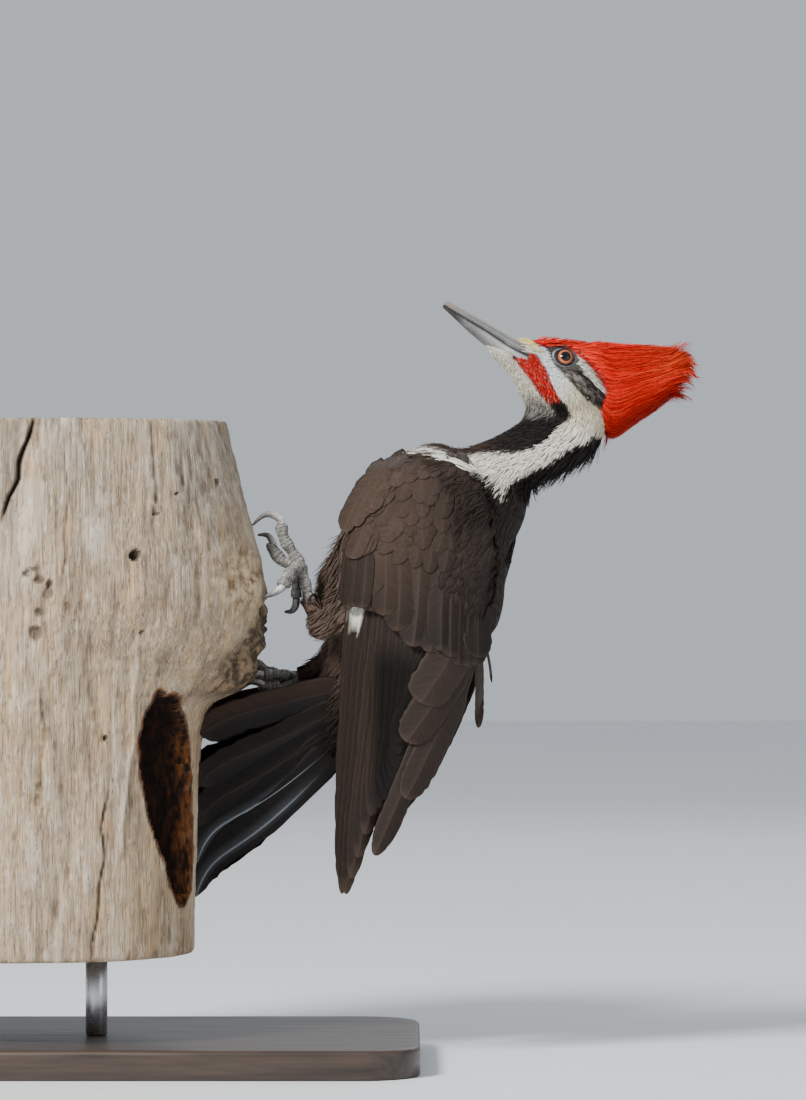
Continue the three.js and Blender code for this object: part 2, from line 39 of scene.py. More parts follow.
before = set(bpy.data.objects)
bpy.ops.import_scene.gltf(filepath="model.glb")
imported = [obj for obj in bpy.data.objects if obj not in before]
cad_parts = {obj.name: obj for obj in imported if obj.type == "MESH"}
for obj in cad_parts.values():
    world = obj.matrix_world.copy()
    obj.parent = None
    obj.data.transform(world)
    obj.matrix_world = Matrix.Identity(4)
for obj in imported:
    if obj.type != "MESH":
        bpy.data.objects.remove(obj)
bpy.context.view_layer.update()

# ------------------------------------------------------------------ sizes shared with the construction, in mm

MM = 0.001
ROOT = "root"
BASE = {"length": 330, "width": 220, "height": 16, "corner": 34, "bevel": 2.5}
ROD = {"radius": 6, "spacing": 84}
LOG = {"x": -54, "y": -15, "radius": 96, "bottom": 62, "top": 352, "spread": 0.85}
SWELLING = [
    (62, 0), (144, 1.9), (182, 5), (198, 11), (205, 27), (218, 36),
    (238, 40.2), (262, 40), (290, 33.5), (320, 25), (352, 18.5),
]
HOLLOW = {"angle": 34, "height": 144, "tall": 59, "wide": 27, "deep": 25}

# Along the back from the tail coverts to the nape: x, z, half depth, half width.
SPINE = [
    (104, 172, 7, 4), (112, 179, 17, 9), (123, 188, 24, 14), (135, 199, 30, 19), (146, 212, 36, 25),
    (155, 229, 43, 33), (159.8, 252.5, 51.5, 41), (168.9, 280.5, 50, 44), (183.5, 300.9, 46, 41),
    (200.9, 313.6, 33, 31), (215.1, 327.2, 20, 21.5), (231.6, 337.2, 19.5, 18.5), (247.5, 348.7, 20, 18),
    (257.4, 363, 17, 15),
]
HEAD_CUT = {"x": 245, "z": 350, "lean": 66}  # the plane between neck and head
SKIN_GRID = {"cell": 1.35, "passes": 9}

# The head's own frame: x towards the bill's tip, y to the bird's left, z to its crown.
HEAD = {"place": (245.3, 0, 379.5), "pitch": 30.5, "roll": 20}
SKULL = [
    # x, crown height, throat height, half width
    (47.5, -6.4, -8.4, 1.6), (40, -5, -11.6, 4.6), (33, -1.6, -14.6, 7.4), (28, 3.6, -17, 9),
    (21, 8, -20.5, 11), (12, 12.6, -24, 13.4), (3, 16.8, -26, 15.4), (-9, 20.5, -26, 18),
    (-20, 19, -20, 16.5), (-29, 13, -12, 12), (-35, 5, -4, 5),
]
EYE = {"x": 4.6, "y": 10.6, "z": 1.2, "radius": 6.2}
LIDS = {"opening": 4.35, "length": 7.3, "height": 6.5}  # radii of the opening and of the bare ring's edge
BILL = [
    # x, gape height, upper height, lower depth, half width
    (16, -7.2, 9.6, 5.4, 9.4), (22, -7.4, 9.4, 5.6, 10.4), (25, -7.5, 9.2, 5.7, 10.1),
    (29, -7.5, 8.9, 5.7, 9.2), (33, -7.1, 8.6, 5.7, 7.9), (38, -6.3, 7.9, 5.6, 6.2),
    (49, -5.0, 6.5, 5.1, 4.6), (57, -4.5, 6.2, 4.2, 3.7), (64, -4.2, 5.4, 2.7, 3),
    (70, -3.8, 5.0, 1.6, 2.3), (75.5, -3.3, 3.9, 0.7, 1.9),
]
BILL_TIP = {"upper": (1.2, 2.4), "lower": (1.0, 0.4)}  # last step and height of each half
CREST = [
    # x, y, z, half height, half width
    (254, 0, 379.5, 15, 14), (263, 0.5, 374, 21, 15), (271, 1.5, 369.2, 24.6, 14.5),
    (286, 5, 373.4, 19.2, 10.5), (299, 9, 377.6, 14.2, 7), (310, 12.5, 381.6, 8.5, 4),
    (317, 15, 385, 3, 1.5),
]

# The surface that each folded wing is draped over: height, centre x, half depth, half width.
ENVELOPE = [
    (337, 177, 12, 13), (333, 176, 25.5, 24.5), (325.6, 173.8, 46, 38), (309.1, 170.5, 53, 45),
    (281.6, 168.9, 55.5, 49), (254.1, 161.7, 56, 48), (226.6, 156.8, 54, 43),
    (199.1, 152.9, 49.5, 36), (171.6, 147.4, 43, 29), (144.1, 140.2, 34, 23),
    (116.6, 133.1, 25, 18), (86, 126.5, 18, 14),
]
COVERT_FRONT = [(169.4, 336.6), (142, 324), (125.4, 295.4), (121.6, 267.9), (125, 245)]
COVERT_BACK = [(179.3, 333.9), (196.9, 320.1), (207.9, 292.6), (206, 254), (190, 219)]
SHELL = 2.2  # height of the coverts' shell at its middle
WRAP = 0.985  # how far towards the envelope's ends a feather may lie
# The far wing is turned, drawn in and lowered about the front of its coverts. Its long feathers are shorter
# by a share, and their tips and its scapulars lie nearer the trunk.
FAR_WING = {"turn": -2.8, "shrink": 0.95, "z": -1, "shorter": 0.13, "tips": -3.0, "scapulars": -5}
COVERT_AREA = [
    # side outline of the coverts that are laid as separate feathers: x, z
    (162, 337), (174, 335), (183, 327), (190, 317), (192, 303), (188, 287), (186, 268), (193, 248),
    (198, 226), (184, 223), (168, 226), (153, 235), (138, 247), (122, 249), (119, 270), (121, 292),
    (127, 307), (136, 321), (150, 332),
]
# Side outline of the folded wing below the coverts, where nothing grows on the skin: x, z.
WING_OUTLINE = [(123, 262), (122, 200), (118, 120), (124, 93), (160, 150), (190, 205), (206, 226),
                (208, 255), (188, 262), (160, 262)]

# Feathering that fills the bend of the throat and the back between the wings: x, z, radius.
THROAT = [(223.9, 374, 6.9), (228.8, 366.3, 6.9), (231.6, 357.5, 7.4), (229.6, 348.7, 7.9),
          (223.9, 341.4, 7.2), (213, 336.4, 5.2)]
MANTLE = [(205, 306, 9), (208, 293, 9.5), (205.2, 277, 9.5), (202.6, 267, 9.5), (197.5, 248, 8.5),
          (192, 236, 6)]
# Feathering under the lower bill, in the rows of SKULL.
CHIN = [(48, -9.4, -10.6, 1), (45, -8.8, -11.8, 3), (39, -8.8, -13.2, 5.2), (32, -8.2, -15.6, 7.4),
        (24, -6, -18, 9.4)]

# Tail feathers of one side, from the middle pair outwards: tip, lengthwise bow, hook of the tip, vane widths.
RECTRICES = [
    {"tip": (43.2, 3.5, 91), "bow": -10, "hook": 22, "inner": 7, "outer": 15},
    {"tip": (44, 10, 110), "bow": -6, "hook": 22, "inner": 10, "outer": 13},
    {"tip": (44.8, 17, 130.4), "bow": 0, "hook": 14, "inner": 11, "outer": 12},
    {"tip": (46, 24, 152.4), "bow": 4, "hook": 9, "inner": 11, "outer": 9},
    {"tip": (48.4, 30, 180), "bow": 11, "hook": 5, "inner": 10, "outer": 9},
]
TAIL_ROOT = {"x": 154, "y": 2, "z": 208, "apart": 1.5}
TAIL_STEP = 0.7  # height of one tail feather over the next

# Each leg: hip, heel and the joint of the toes, how far each toe is turned up towards the trunk, and the
# share of the shank that is feathered.
LEGS = {
    "left": {"side": -1, "hip": (133, 22, 256), "heel": (108.5, 25, 238), "toes": (99.8, 26, 273.4),
             "turns": (0, 0, 0, 0), "cuff": 0.5},
    "right": {"side": 1, "hip": (133, 20, 236), "heel": (112, 15, 217), "toes": (97, 14, 210.5),
              "turns": (-90, 45, 45, -50), "cuff": 0.85},
}
THIGH = {"hip": 17, "heel": 6, "cuff": 3.9}  # radii of the feathered leg
TARSUS_RADIUS = 2.8
TOES = {
    "toe_1": {"thick": 2.4, "grips": False, "toe": [(-2.4, -6, -6.1), (-2.4, -9, -18.2)],
              "claw": [(-3, -10, -22.6), (-5.2, -10.6, -25.3), (-9, -11, -25.6)]},
    "toe_2": {"thick": 2.9, "grips": True, "toe": [(-9, -5, 1.6), (-15.1, -8, 8.2), (-15.4, -9, 10.4)],
              "claw": [(-15.6, -9.6, 12.4), (-18.6, -10.6, 16.2), (-24.4, -11, 16.5)]},
    "toe_3": {"thick": 2.9, "grips": True, "toe": [(-5.2, 1, 8.2), (-9, 3, 14.8), (-10.7, 4, 22.5)],
              "claw": [(-11, 4.2, 25), (-16.2, 4.6, 27.6), (-20.6, 4.8, 26.4), (-25.6, 5, 21.6)]},
    "toe_4": {"thick": 3.3, "grips": True, "toe": [(-4, 6, -3.6), (-7.4, 10, -7.2), (-9, 12, -11.6)],
              "claw": [(-11, 13, -13.4), (-15, 14, -15.8), (-19.5, 14.5, -17.4)]},
}
CLAW_RADIUS = {"root": 1.75, "tip": 0.35}

# ------------------------------------------------------------------ markings

# Side outlines on the head, as x and z of its frame, in mm.
HEAD_MARKS = {
    "crown": [(27.6, 6.4), (22.6, 2.6), (17.6, 2.6), (13.9, 4.6), (11.4, 7.6), (7.9, 9.3),
              (4.1, 9.1), (0.2, 7.6), (-4.4, 6), (-9.2, 3.6), (-17.6, 0.2), (-24.8, -3.7),
              (-30.6, -9.3), (-38, -15.6), (-40.8, -20.6), (-54.1, -12.3), (-71.3, 25.7),
              (-54.6, 55.9), (-4.4, 31.3), (28.6, 9.5)],
    "nasal": [(32, 2.4), (28.0, 6.2), (22.4, 2.4), (16.5, -0.6), (16.6, -2.9), (21, -5), (25, -6.4),
              (29.5, -9), (32, -9)],
    "stripe": [(21.3, 1.7), (16.7, 2), (13.4, 0.1), (10.5, -3.4), (6.6, -6.1), (1.3, -7.9), (-8.3, -11.7),
               (-17.9, -13.9), (-27.5, -11.6), (-31.8, -11.3), (-34.9, -13.5), (-36.2, -18.1), (-32.8, -23.6),
               (-26.5, -31.6), (-21.6, -40.1), (-18.3, -50.3), (-7, -65.6), (5.3, -78.1), (12.6, -64.9),
               (-3.8, -50.6), (-10.4, -38.3), (-12.8, -30), (-15.5, -25.6), (-14.3, -23), (-10.3, -22),
               (-3.7, -20.1), (2.2, -16.9), (9, -10.6), (12.9, -8.1), (17.5, -5.1), (22.2, -4.1)],
    "moustache": [(29.2, -12.1), (28.7, -8.9), (24.5, -5.4), (20.7, -4.7), (16.9, -6.2),
                  (10.8, -9.6), (5.8, -13.9), (1.1, -17.5), (-6, -21.2), (0.2, -24.6), (6.7, -22),
                  (15.6, -17.7), (26.2, -13.1)],
    "moustache_end": [(-0.8, -24.4), (-5.4, -21), (-8.5, -20.6), (-14.3, -23), (-14.3, -27), (-9.2, -28.2),
                      (-5.5, -25.3), (-0.4, -24)],
    "throat": [(39, -4.5), (30.6, -5.4), (29.4, -11.8), (26.2, -13.1), (20.9, -14.9), (15.6, -17.7),
               (6.7, -22), (2.4, -22.8), (-5.5, -25.3), (-8.9, -27.7), (-2.9, -29.4), (1.9, -34),
               (8.4, -33), (15.9, -28), (26.6, -22), (40, -15), (50, -9), (50, -5)],
    "ear": [(2, -5.6), (-2, -5.1), (-6.1, -4.6), (-16.5, -5.9), (-22, -5.9), (-30.6, -9.3), (-30.8, -11.9),
            (-21, -12.4), (-15.2, -12.1), (-9.7, -10.9), (-0.6, -8.1)],
    "brow": [(1.1, 9), (-2.9, 6.6), (-6.8, 3.6), (-12, 1.9), (-21.2, -2.6), (-25.3, -3.3), (-24, -5.6),
             (-17.9, -4.9), (-8.6, -2.5), (-5, 1.1)],
}
# Side outlines on the body, as x and z.
NECK_STRIPE = [
    (262.4, 343.8), (253, 340.5), (244.8, 336.1), (237.1, 329.5), (228.3, 326.2), (220, 321.8),
    (213.4, 317.9), (210.7, 310.8), (206.3, 313.5), (200.8, 320.1), (192.5, 322.3), (184.3, 327.2),
    (176, 332.8), (167.8, 336.6), (160, 336), (160, 337.5), (169, 338.4), (178.8, 335.8),
    (185.9, 332.6), (192.5, 332.8), (198, 335.5), (209, 335.5), (217.3, 335.5), (224.4, 336.6),
    (231, 339.4), (236, 343.2), (242, 348.7), (250, 358), (272, 358), (267.9, 346.5),
]
WHITE_PATCH = [(123.6, 251), (132.2, 252), (131.4, 243.4), (129.2, 238.2), (126.2, 241), (123.2, 245)]

# Each group of feathers has its own random numbers, from the seed of the settings and its number here.
STREAMS = {
    "nasal": 12, "flight": 20, "coverts": 30, "tail": 40, "crest_locks": 50, "crest_wisps": 51, "crown": 51,
}


def stream(plumage, name):
    """The seeded random generator of one group of feathers."""
    return np.random.default_rng([plumage.seed, STREAMS[name]])


def srgb(red, green, blue):
    """A colour given as 0 to 255 in each channel, made linear."""
    return np.array([red, green, blue]) ** 2.2 / 255**2.2


# ------------------------------------------------------------------ settings that a user would change


def colour_setting(name, description, default):
    """A colour of the panel in linear values."""
    return FloatVectorProperty(
        name=name, description=description, subtype="COLOR", default=default, min=0, max=1,
    )


class PlumageSettings(bpy.types.PropertyGroup):
    black: colour_setting("Black plumage", "Body and wing feathers", (0.0135, 0.0105, 0.0092))
    # brown is the real brown of worn feathers; on the body and the coverts it also stands in for painted
    # sunlight on black plumage.
    brown: colour_setting("Sun-browned plumage", "Worn coverts and belly", (0.052, 0.034, 0.0245))
    scarlet: colour_setting("Crest", "Crown, crest and moustache", (0.84, 0.009, 0.004))
    ember: colour_setting("Crest highlights", "Lightest crest feathers", (0.95, 0.085, 0.022))
    white: colour_setting("White plumage", "Stripe and throat", (0.80, 0.76, 0.66))
    coat_depth: FloatProperty(
        name="Coat depth", description="How far the skin lies inside the body's outline, mm",
        default=2.4, min=0.5, max=4,
    )
    seed: IntProperty(
        name="Seed", description="Start of the random spread of the feathers", default=7, min=0,
    )


class HornSettings(bpy.types.PropertyGroup):
    bill: colour_setting("Bill", "Slate horn of the bill", (0.085, 0.082, 0.078))
    claw: colour_setting("Claws", "Horn of the claws", (0.13, 0.12, 0.11))
    scales: colour_setting("Foot skin", "Scaly skin of the toes", (0.31, 0.29, 0.26))
    iris: colour_setting("Iris", "Colour round the pupil", (0.50, 0.13, 0.045))
    pupil: FloatProperty(
        name="Pupil radius", description="Radius of the pupil, mm", default=2.85, min=1, max=4,
    )


class StageSettings(bpy.types.PropertyGroup):
    floor: colour_setting("Floor", "Plain pale floor", (0.78, 0.79, 0.80))
    key: FloatProperty(name="Key light", description="Power of the large light, W", default=160, min=0)
    fill: FloatProperty(name="Fill light", description="Power of the side light, W", default=9, min=0)
    distance: FloatProperty(
        name="Camera distance", description="From the bird to the camera", unit="LENGTH",
        default=3.0, min=0.5,
    )


# ------------------------------------------------------------------ curves, outlines and noise


def unit(vectors):
    """Each vector over its own length."""
    return vectors / np.maximum(np.linalg.norm(vectors, axis=-1, keepdims=True), 1e-9)


def mix(low, high, share):
    """low plus share of the way to high."""
    return low + (high - low) * share


def ramp(low, high, value):
    """3s^2 - 2s^3 for the share s of value between low and high, held at 0 and 1 outside."""
    share = np.clip((value - low) / (high - low), 0, 1)
    return share * share * (3 - 2 * share)


def bell(value, middle, spread):
    """exp(-((value - middle) / spread)^2)."""
    return np.exp(-(((value - middle) / spread) ** 2))


def wrapped(angle):
    """An angle brought between -pi and pi."""
    return (angle + np.pi) % (2 * np.pi) - np.pi


def along(table, share):
    """Rows of a table at shares of its length: the uniform Catmull-Rom curve through the rows."""
    table = np.asarray(table, float)
    last = len(table) - 1
    place = np.clip(share, 0, 1) * last
    start = np.minimum(place.astype(int), last - 1)
    f = (place - start)[..., None]
    a, b, c, d = (table[np.clip(start + k, 0, last)] for k in (-1, 0, 1, 2))
    return b + 0.5 * f * (c - a + f * (2 * a - 5 * b + 4 * c - d + f * (3 * (b - c) + d - a)))


def lookup(table, value):
    """Rows of a table where its first column reads value, on the same curve."""
    table = np.asarray(table, float)
    rising = 1 if table[-1, 0] > table[0, 0] else -1
    share = np.interp(rising * value, rising * table[:, 0], np.arange(len(table)))
    return along(table, share / (len(table) - 1))


def from_side(points):
    """x and z of points in space."""
    return points[:, [0, 2]]


def depth_inside(points, outline):
    """Distance of 2-D points to a closed outline's nearest edge, positive inside.

    A point is inside where a ray from it crosses the outline an odd number of times.
    """
    start = np.asarray(outline, float)[None]
    edge = np.roll(start, -1, 1) - start
    from_start = points[:, None] - start
    share = np.clip((from_start * edge).sum(-1) / (edge**2).sum(-1), 0, 1)
    distance = np.linalg.norm(from_start - edge * share[..., None], axis=-1).min(1)
    end_up = (start + edge)[..., 1] > points[:, None, 1]
    astride = (start[..., 1] > points[:, None, 1]) != end_up
    rise = np.where(edge[..., 1] == 0, 1e-9, edge[..., 1])
    before = from_start[..., 0] < edge[..., 0] * from_start[..., 1] / rise
    return np.where((astride & before).sum(1) % 2 == 1, distance, -distance)


def value_noise(u, v, columns, rows, seed):
    """Smooth noise from -1 to 1 on a lattice of columns (which wrap) by rows, for u and v from 0 to 1."""
    lattice = np.random.default_rng(seed).uniform(-1, 1, (rows + 2, columns))
    x = (u % 1) * columns
    y = np.clip(v, 0, 1) * rows
    i, j = x.astype(int) % columns, y.astype(int)
    fx, fy = ramp(0, 1, x - np.floor(x)), ramp(0, 1, y - j)
    near = mix(lattice[j, i], lattice[j, (i + 1) % columns], fx)
    far = mix(lattice[j + 1, i], lattice[j + 1, (i + 1) % columns], fx)
    return mix(near, far, fy)


def turning_frames(path, reference):
    """Side and up vectors square to a path: side is the reference less its part along the path."""
    way = unit(np.gradient(path, axis=-2))
    side = unit(reference - (reference * way).sum(-1, keepdims=True) * way)
    return way, side, np.cross(side, way)


# ------------------------------------------------------------------ meshes


def loft_faces(lofts, rings, sides):
    """Quads between the rings of each loft, and a polygon over each end."""
    ring = np.arange(rings - 1)[:, None] * sides
    side = np.arange(sides)[None]
    after = (side + 1) % sides
    corners = [ring + side, ring + after, ring + sides + after, ring + sides + side]
    quads = np.stack(corners, -1).reshape(-1, 4)
    caps = np.stack([np.arange(sides)[::-1], (rings - 1) * sides + np.arange(sides)])
    starts = np.arange(lofts)[:, None, None] * rings * sides
    return (quads[None] + starts).reshape(-1, 4), (caps[None] + starts).reshape(-1, sides)


def volume_sign(points, quads):
    """Sign of the volume that the quads enclose, from the sum of their pyramids to the points' mean."""
    a, b, c, d = (points[quads[:, k]] - points.mean(0) for k in range(4))
    return np.sign((np.cross(a, b) * c).sum() + (np.cross(a, c) * d).sum())


def facing_out(points, quads, *others):
    """The faces, turned over if the quads enclose a negative volume."""
    way = -1 if volume_sign(points, quads) < 0 else 1
    return [faces[:, ::way] for faces in (quads, *others)]


def make_mesh(name, points, *faces):
    """A mesh from points in mm and arrays of faces."""
    mesh = bpy.data.meshes.new(name)
    sizes = np.concatenate([np.full(len(f), f.shape[1]) for f in faces])
    corners = np.concatenate([f.ravel() for f in faces])
    mesh.vertices.add(len(points))
    mesh.vertices.foreach_set("co", (points * MM).ravel().astype(np.float32))
    mesh.loops.add(len(corners))
    mesh.loops.foreach_set("vertex_index", corners.astype(np.int32))
    mesh.polygons.add(len(sizes))
    mesh.polygons.foreach_set("loop_start", np.concatenate([[0], np.cumsum(sizes)[:-1]]).astype(np.int32))
    mesh.update(calc_edges=True)
    mesh.validate()
    mesh.shade_smooth()
    return mesh


def set_tint(mesh, colours, gloss=0.0):
    """The attribute that the finishes read: colour, or one column for grey, and gloss in alpha."""
    values = np.ones((len(mesh.vertices), 4), np.float32)
    values[:, :3] = colours
    values[:, 3] = gloss
    layer = mesh.color_attributes.new("tint", "FLOAT_COLOR", "POINT")
    layer.data.foreach_set("color", values.ravel())


def set_map(mesh, name, places):
    """A UV map from one place for each vertex."""
    corners = np.empty(len(mesh.loops), np.int32)
    mesh.loops.foreach_get("vertex_index", corners)
    layer = mesh.uv_layers.new(name=name)
    layer.data.foreach_set("uv", places[corners].ravel().astype(np.float32))


def show(name, data):
    """A new object of the scene around a mesh, a light or a camera."""
    shown = bpy.data.objects.new(name, data)
    bpy.context.scene.collection.objects.link(shown)
    return shown


def add_piece(name, mesh, material, slot, *nodes):
    """Shows a finished mesh as a piece that rides on the model and stands for the named nodes."""
    piece = show(name, mesh)
    mesh.materials.clear()
    mesh.materials.append(material)
    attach(piece, ROOT)
    if nodes:
        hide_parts(*nodes)


def loft_mesh(name, points):
    """One closed mesh from an array of lofts by rings by sides by 3, its faces turned outwards."""
    lofts, rings, sides, _ = points.shape
    flat = points.reshape(-1, 3)
    quads, caps = loft_faces(lofts, rings, sides)
    if volume_sign(flat[: rings * sides], quads[: (rings - 1) * sides]) < 0:
        quads, caps = quads[:, ::-1], caps[:, ::-1]
    return make_mesh(name, flat, quads, caps)


def loft(sections):
    """An array of rings by sides as a single loft."""
    return np.asarray(sections)[None]


def ring_angles(sides):
    """Equal turns round a ring."""
    return np.linspace(0, 2 * np.pi, sides, endpoint=False)


def tube(path, radii, sides, reference):
    """Rings round a path: side * r cos a + up * r sin a."""
    _, side, up = turning_frames(path, np.asarray(reference, float))
    angle = ring_angles(sides)[None, :, None]
    size = np.asarray(radii, float)[:, None, None]
    return path[:, None] + side[:, None] * size * np.cos(angle) + up[:, None] * size * np.sin(angle)


def ring_points(path, side, up, across, over):
    """Rings of a path from how far each point lies to its side and above it."""
    return path[:, None] + side[:, None] * across[..., None] + up[:, None] * over[..., None]


# ------------------------------------------------------------------ forms shared with the construction


def head_axes():
    """The head's x, y and z directions: pitched up, then rolled about its own x."""
    pitch, roll = np.radians(HEAD["pitch"]), np.radians(HEAD["roll"])
    ahead = np.array([-np.cos(pitch), 0, np.sin(pitch)])
    left = np.array([0.0, -1, 0])
    above = np.array([np.sin(pitch), 0, np.cos(pitch)])
    turned_left = left * np.cos(roll) + above * np.sin(roll)
    return np.stack([ahead, turned_left, above * np.cos(roll) - left * np.sin(roll)])


HEAD_AXES = head_axes()


def from_head(local):
    """Places in the head's frame as places in the model."""
    return np.asarray(local, float) @ HEAD_AXES + np.array(HEAD["place"], float)


def to_head(points):
    """Places in the model as places in the head's frame."""
    return (points - np.array(HEAD["place"], float)) @ HEAD_AXES.T


def spine_rings(rows, sides, grow, slim):
    """The trunk and neck: ellipses square to the spine's curve; slim takes mm off the neck's root behind."""
    share = np.linspace(0, 1, rows)
    slim = slim * ramp(0.45, 0.66, share) * ramp(0.93, 0.78, share)
    x, z, depth, width = along(SPINE, share).T
    step = 0.3 / rows
    ahead = along(SPINE, share + step)[:, :2] - along(SPINE, share - step)[:, :2]
    square = unit(np.stack([ahead[:, 1], 0 * x, -ahead[:, 0]], -1))
    centre = np.stack([x, 0 * x, z], -1)
    angle = ring_angles(sides)[None, :, None]
    half = (depth + grow)[:, None, None] - slim[:, None, None] * np.maximum(np.cos(angle), 0)
    out = square[:, None] * half * np.cos(angle)
    return centre[:, None] + out + np.array([0, 1.0, 0]) * (width + grow)[:, None, None] * np.sin(angle)


def skull_rings(rows, sides, grow, table=SKULL):
    """The head: upright ellipses between crown and throat heights along its own x."""
    x, crown, throat, width = along(table, np.linspace(0, 1, rows)).T
    angle = ring_angles(sides)[None]
    half = ((crown - throat) / 2 + grow)[:, None]
    local = np.stack([
        np.repeat(x[:, None], sides, 1),
        (width + grow)[:, None] * np.sin(angle),
        ((crown + throat) / 2)[:, None] + half * np.cos(angle),
    ], -1)
    return from_head(local)


def crest_rings(rows, sides, grow, end):
    """The crest's core: upright ellipses through its stations."""
    x, y, z, tall, wide = along(CREST, np.linspace(0, end, rows)).T
    angle = ring_angles(sides)[None]
    tall, wide = np.maximum(tall + grow, 0.6), np.maximum(wide + grow, 0.5)
    return np.stack([
        np.repeat(x[:, None], sides, 1),
        y[:, None] + wide[:, None] * np.cos(angle),
        z[:, None] + tall[:, None] * np.sin(angle),
    ], -1)


def drape(x, z, lift, side):
    """The wing surface, raised along its normal: out = width sqrt(1 - share^2) across the envelope."""
    if side > 0:
        sx, sz = COVERT_FRONT[0]
        turn = math.radians(FAR_WING["turn"])
        dx, dz = (x - sx) * FAR_WING["shrink"], (z - sz) * FAR_WING["shrink"]
        x = sx + dx * math.cos(turn) + dz * math.sin(turn)
        z = sz + FAR_WING["z"] - dx * math.sin(turn) + dz * math.cos(turn)
    _, centre, depth, width = np.moveaxis(lookup(ENVELOPE, z), -1, 0)
    share = np.clip((x - centre) / depth, -WRAP, WRAP)
    out = width * np.sqrt(1 - share**2)
    normal = unit(np.stack([(x - centre) / depth**2, side * out / width**2, 0 * x], -1))
    return np.stack([x, side * out, z], -1) + normal * np.asarray(lift)[..., None]


def dome(across, down):
    """Height of the covert shell, 0 to 1: root of a half sine across, times a half sine down the wing."""
    return np.sqrt(np.sin(np.pi * across)) * np.sin(np.pi * (0.1 + 0.84 * down))


def covert_dome(x, z):
    """Height of the covert shell at places of the side view."""
    down = np.linspace(0, 1, 41)
    front, back = along(COVERT_FRONT, down), along(COVERT_BACK, down)
    middle = (front[:, 1] + back[:, 1]) / 2
    share = np.interp(-z, -middle, down)
    start, end = np.interp(share, down, front[:, 0]), np.interp(share, down, back[:, 0])
    across = np.clip((x - start) / (end - start), 0.02, 0.98)
    return dome(across, share)


def covert_rings(rows, across, side, grow, end):
    """The pad under the coverts: an upper and a lower draped surface that meet along its edges."""
    t = np.linspace(0, end, rows)[:, None]
    u = mix(0.02, 0.98, np.linspace(0, 1, across))[None]
    front, back = along(COVERT_FRONT, t[:, 0]), along(COVERT_BACK, t[:, 0])
    raised = dome(u, t)
    x = mix(front[:, :1], back[:, :1], u)
    z = mix(front[:, 1:], back[:, 1:], u)
    upper = drape(x, z, 0.8 + SHELL * raised + grow, side)
    lower = drape(x, z, -0.4 - 5 * raised, side)
    return np.concatenate([upper, lower[:, ::-1]], 1)


def log_radius(angle, z):
    """Radius of the plain trunk: flutes, and a swelling that falls off as exp(-(angle / spread)^2)."""
    angle = wrapped(angle)
    flutes = 1.8 * np.sin(3 * angle) + 1.1 * np.sin(7 * angle + z / 60) * np.sin(angle) ** 2
    return LOG["radius"] + flutes + lookup(SWELLING, z)[..., 1] * bell(angle, 0, LOG["spread"])


def log_face(y, z):
    """X of the trunk's surface on the bird's side."""
    aside = LOG["y"] - y
    radius = np.full(np.shape(z), float(LOG["radius"]))
    for _ in range(6):
        radius = log_radius(np.arcsin(aside / radius), z)
    return LOG["x"] + np.sqrt(radius**2 - aside**2)


# ------------------------------------------------------------------ skin


def leg_points(name):
    """Hip, heel, joint of the toes and end of the cuff of one leg."""
    leg = LEGS[name]
    flip = np.array([1, leg["side"], 1])
    hip, heel, toes = (np.array(leg[key], float) * flip for key in ("hip", "heel", "toes"))
    return hip, heel, toes, mix(heel, toes, leg["cuff"])


def leg_rings(name, grow):
    """Drumstick and cuff: round tubes that taper from the hip to the heel and on to the bare shank."""
    hip, heel, _, cuff = leg_points(name)
    hip = hip * (1, 0.6, 1)
    share = np.linspace(0, 1, 12)
    thigh = mix(THIGH["hip"], THIGH["heel"], share**0.8) + grow
    thigh = tube(mix(hip, heel, share[:, None]), thigh, 20, (0, 1, 0))
    sock = mix(THIGH["heel"] + 0.6, THIGH["cuff"], share) + grow
    return thigh, tube(mix(mix(heel, hip, 0.12), cuff, share[:, None]), sock, 20, (0, 1, 0))


def build_skin(depth):
    """One closed surface: head, crest, neck, trunk, thighs and wing pads, joined and smoothed."""
    forms = [spine_rings(60, 48, -depth, 2.2), skull_rings(40, 48, -0.7), crest_rings(24, 32, -5, 0.72)]
    forms += [covert_rings(24, 14, side, -1.1, 0.9) for side in (-1, 1)]
    for line in (THROAT, MANTLE):
        x, z, radius = along(line, np.linspace(0, 1, 20)).T
        forms.append(tube(np.stack([x, 0 * x, z], -1), radius, 24, (0, 1, 0)))
    forms.append(skull_rings(20, 32, -0.5, CHIN))
    for name in LEGS:
        forms += leg_rings(name, -1.2)
    points, faces, start = [], [], 0
    for rings in forms:
        count, sides = rings.shape[:2]
        flat = rings.reshape(-1, 3)
        quads, caps = facing_out(flat, *loft_faces(1, count, sides))
        points.append(flat)
        faces += [quads + start, caps + start]
        start += len(flat)
    joined = make_mesh("skin_forms", np.concatenate(points), *faces)
    shape = show("skin_forms", joined)
    remesh = shape.modifiers.new("even", "REMESH")
    remesh.mode = "VOXEL"
    remesh.voxel_size = SKIN_GRID["cell"] * MM
    soften = shape.modifiers.new("soften", "SMOOTH")
    soften.factor = 0.5
    soften.iterations = SKIN_GRID["passes"]
    graph = bpy.context.evaluated_depsgraph_get()
    skin = bpy.data.meshes.new_from_object(shape.evaluated_get(graph))
    bpy.data.objects.remove(shape)
    skin.name = "skin"
    skin.shade_smooth()
    return skin


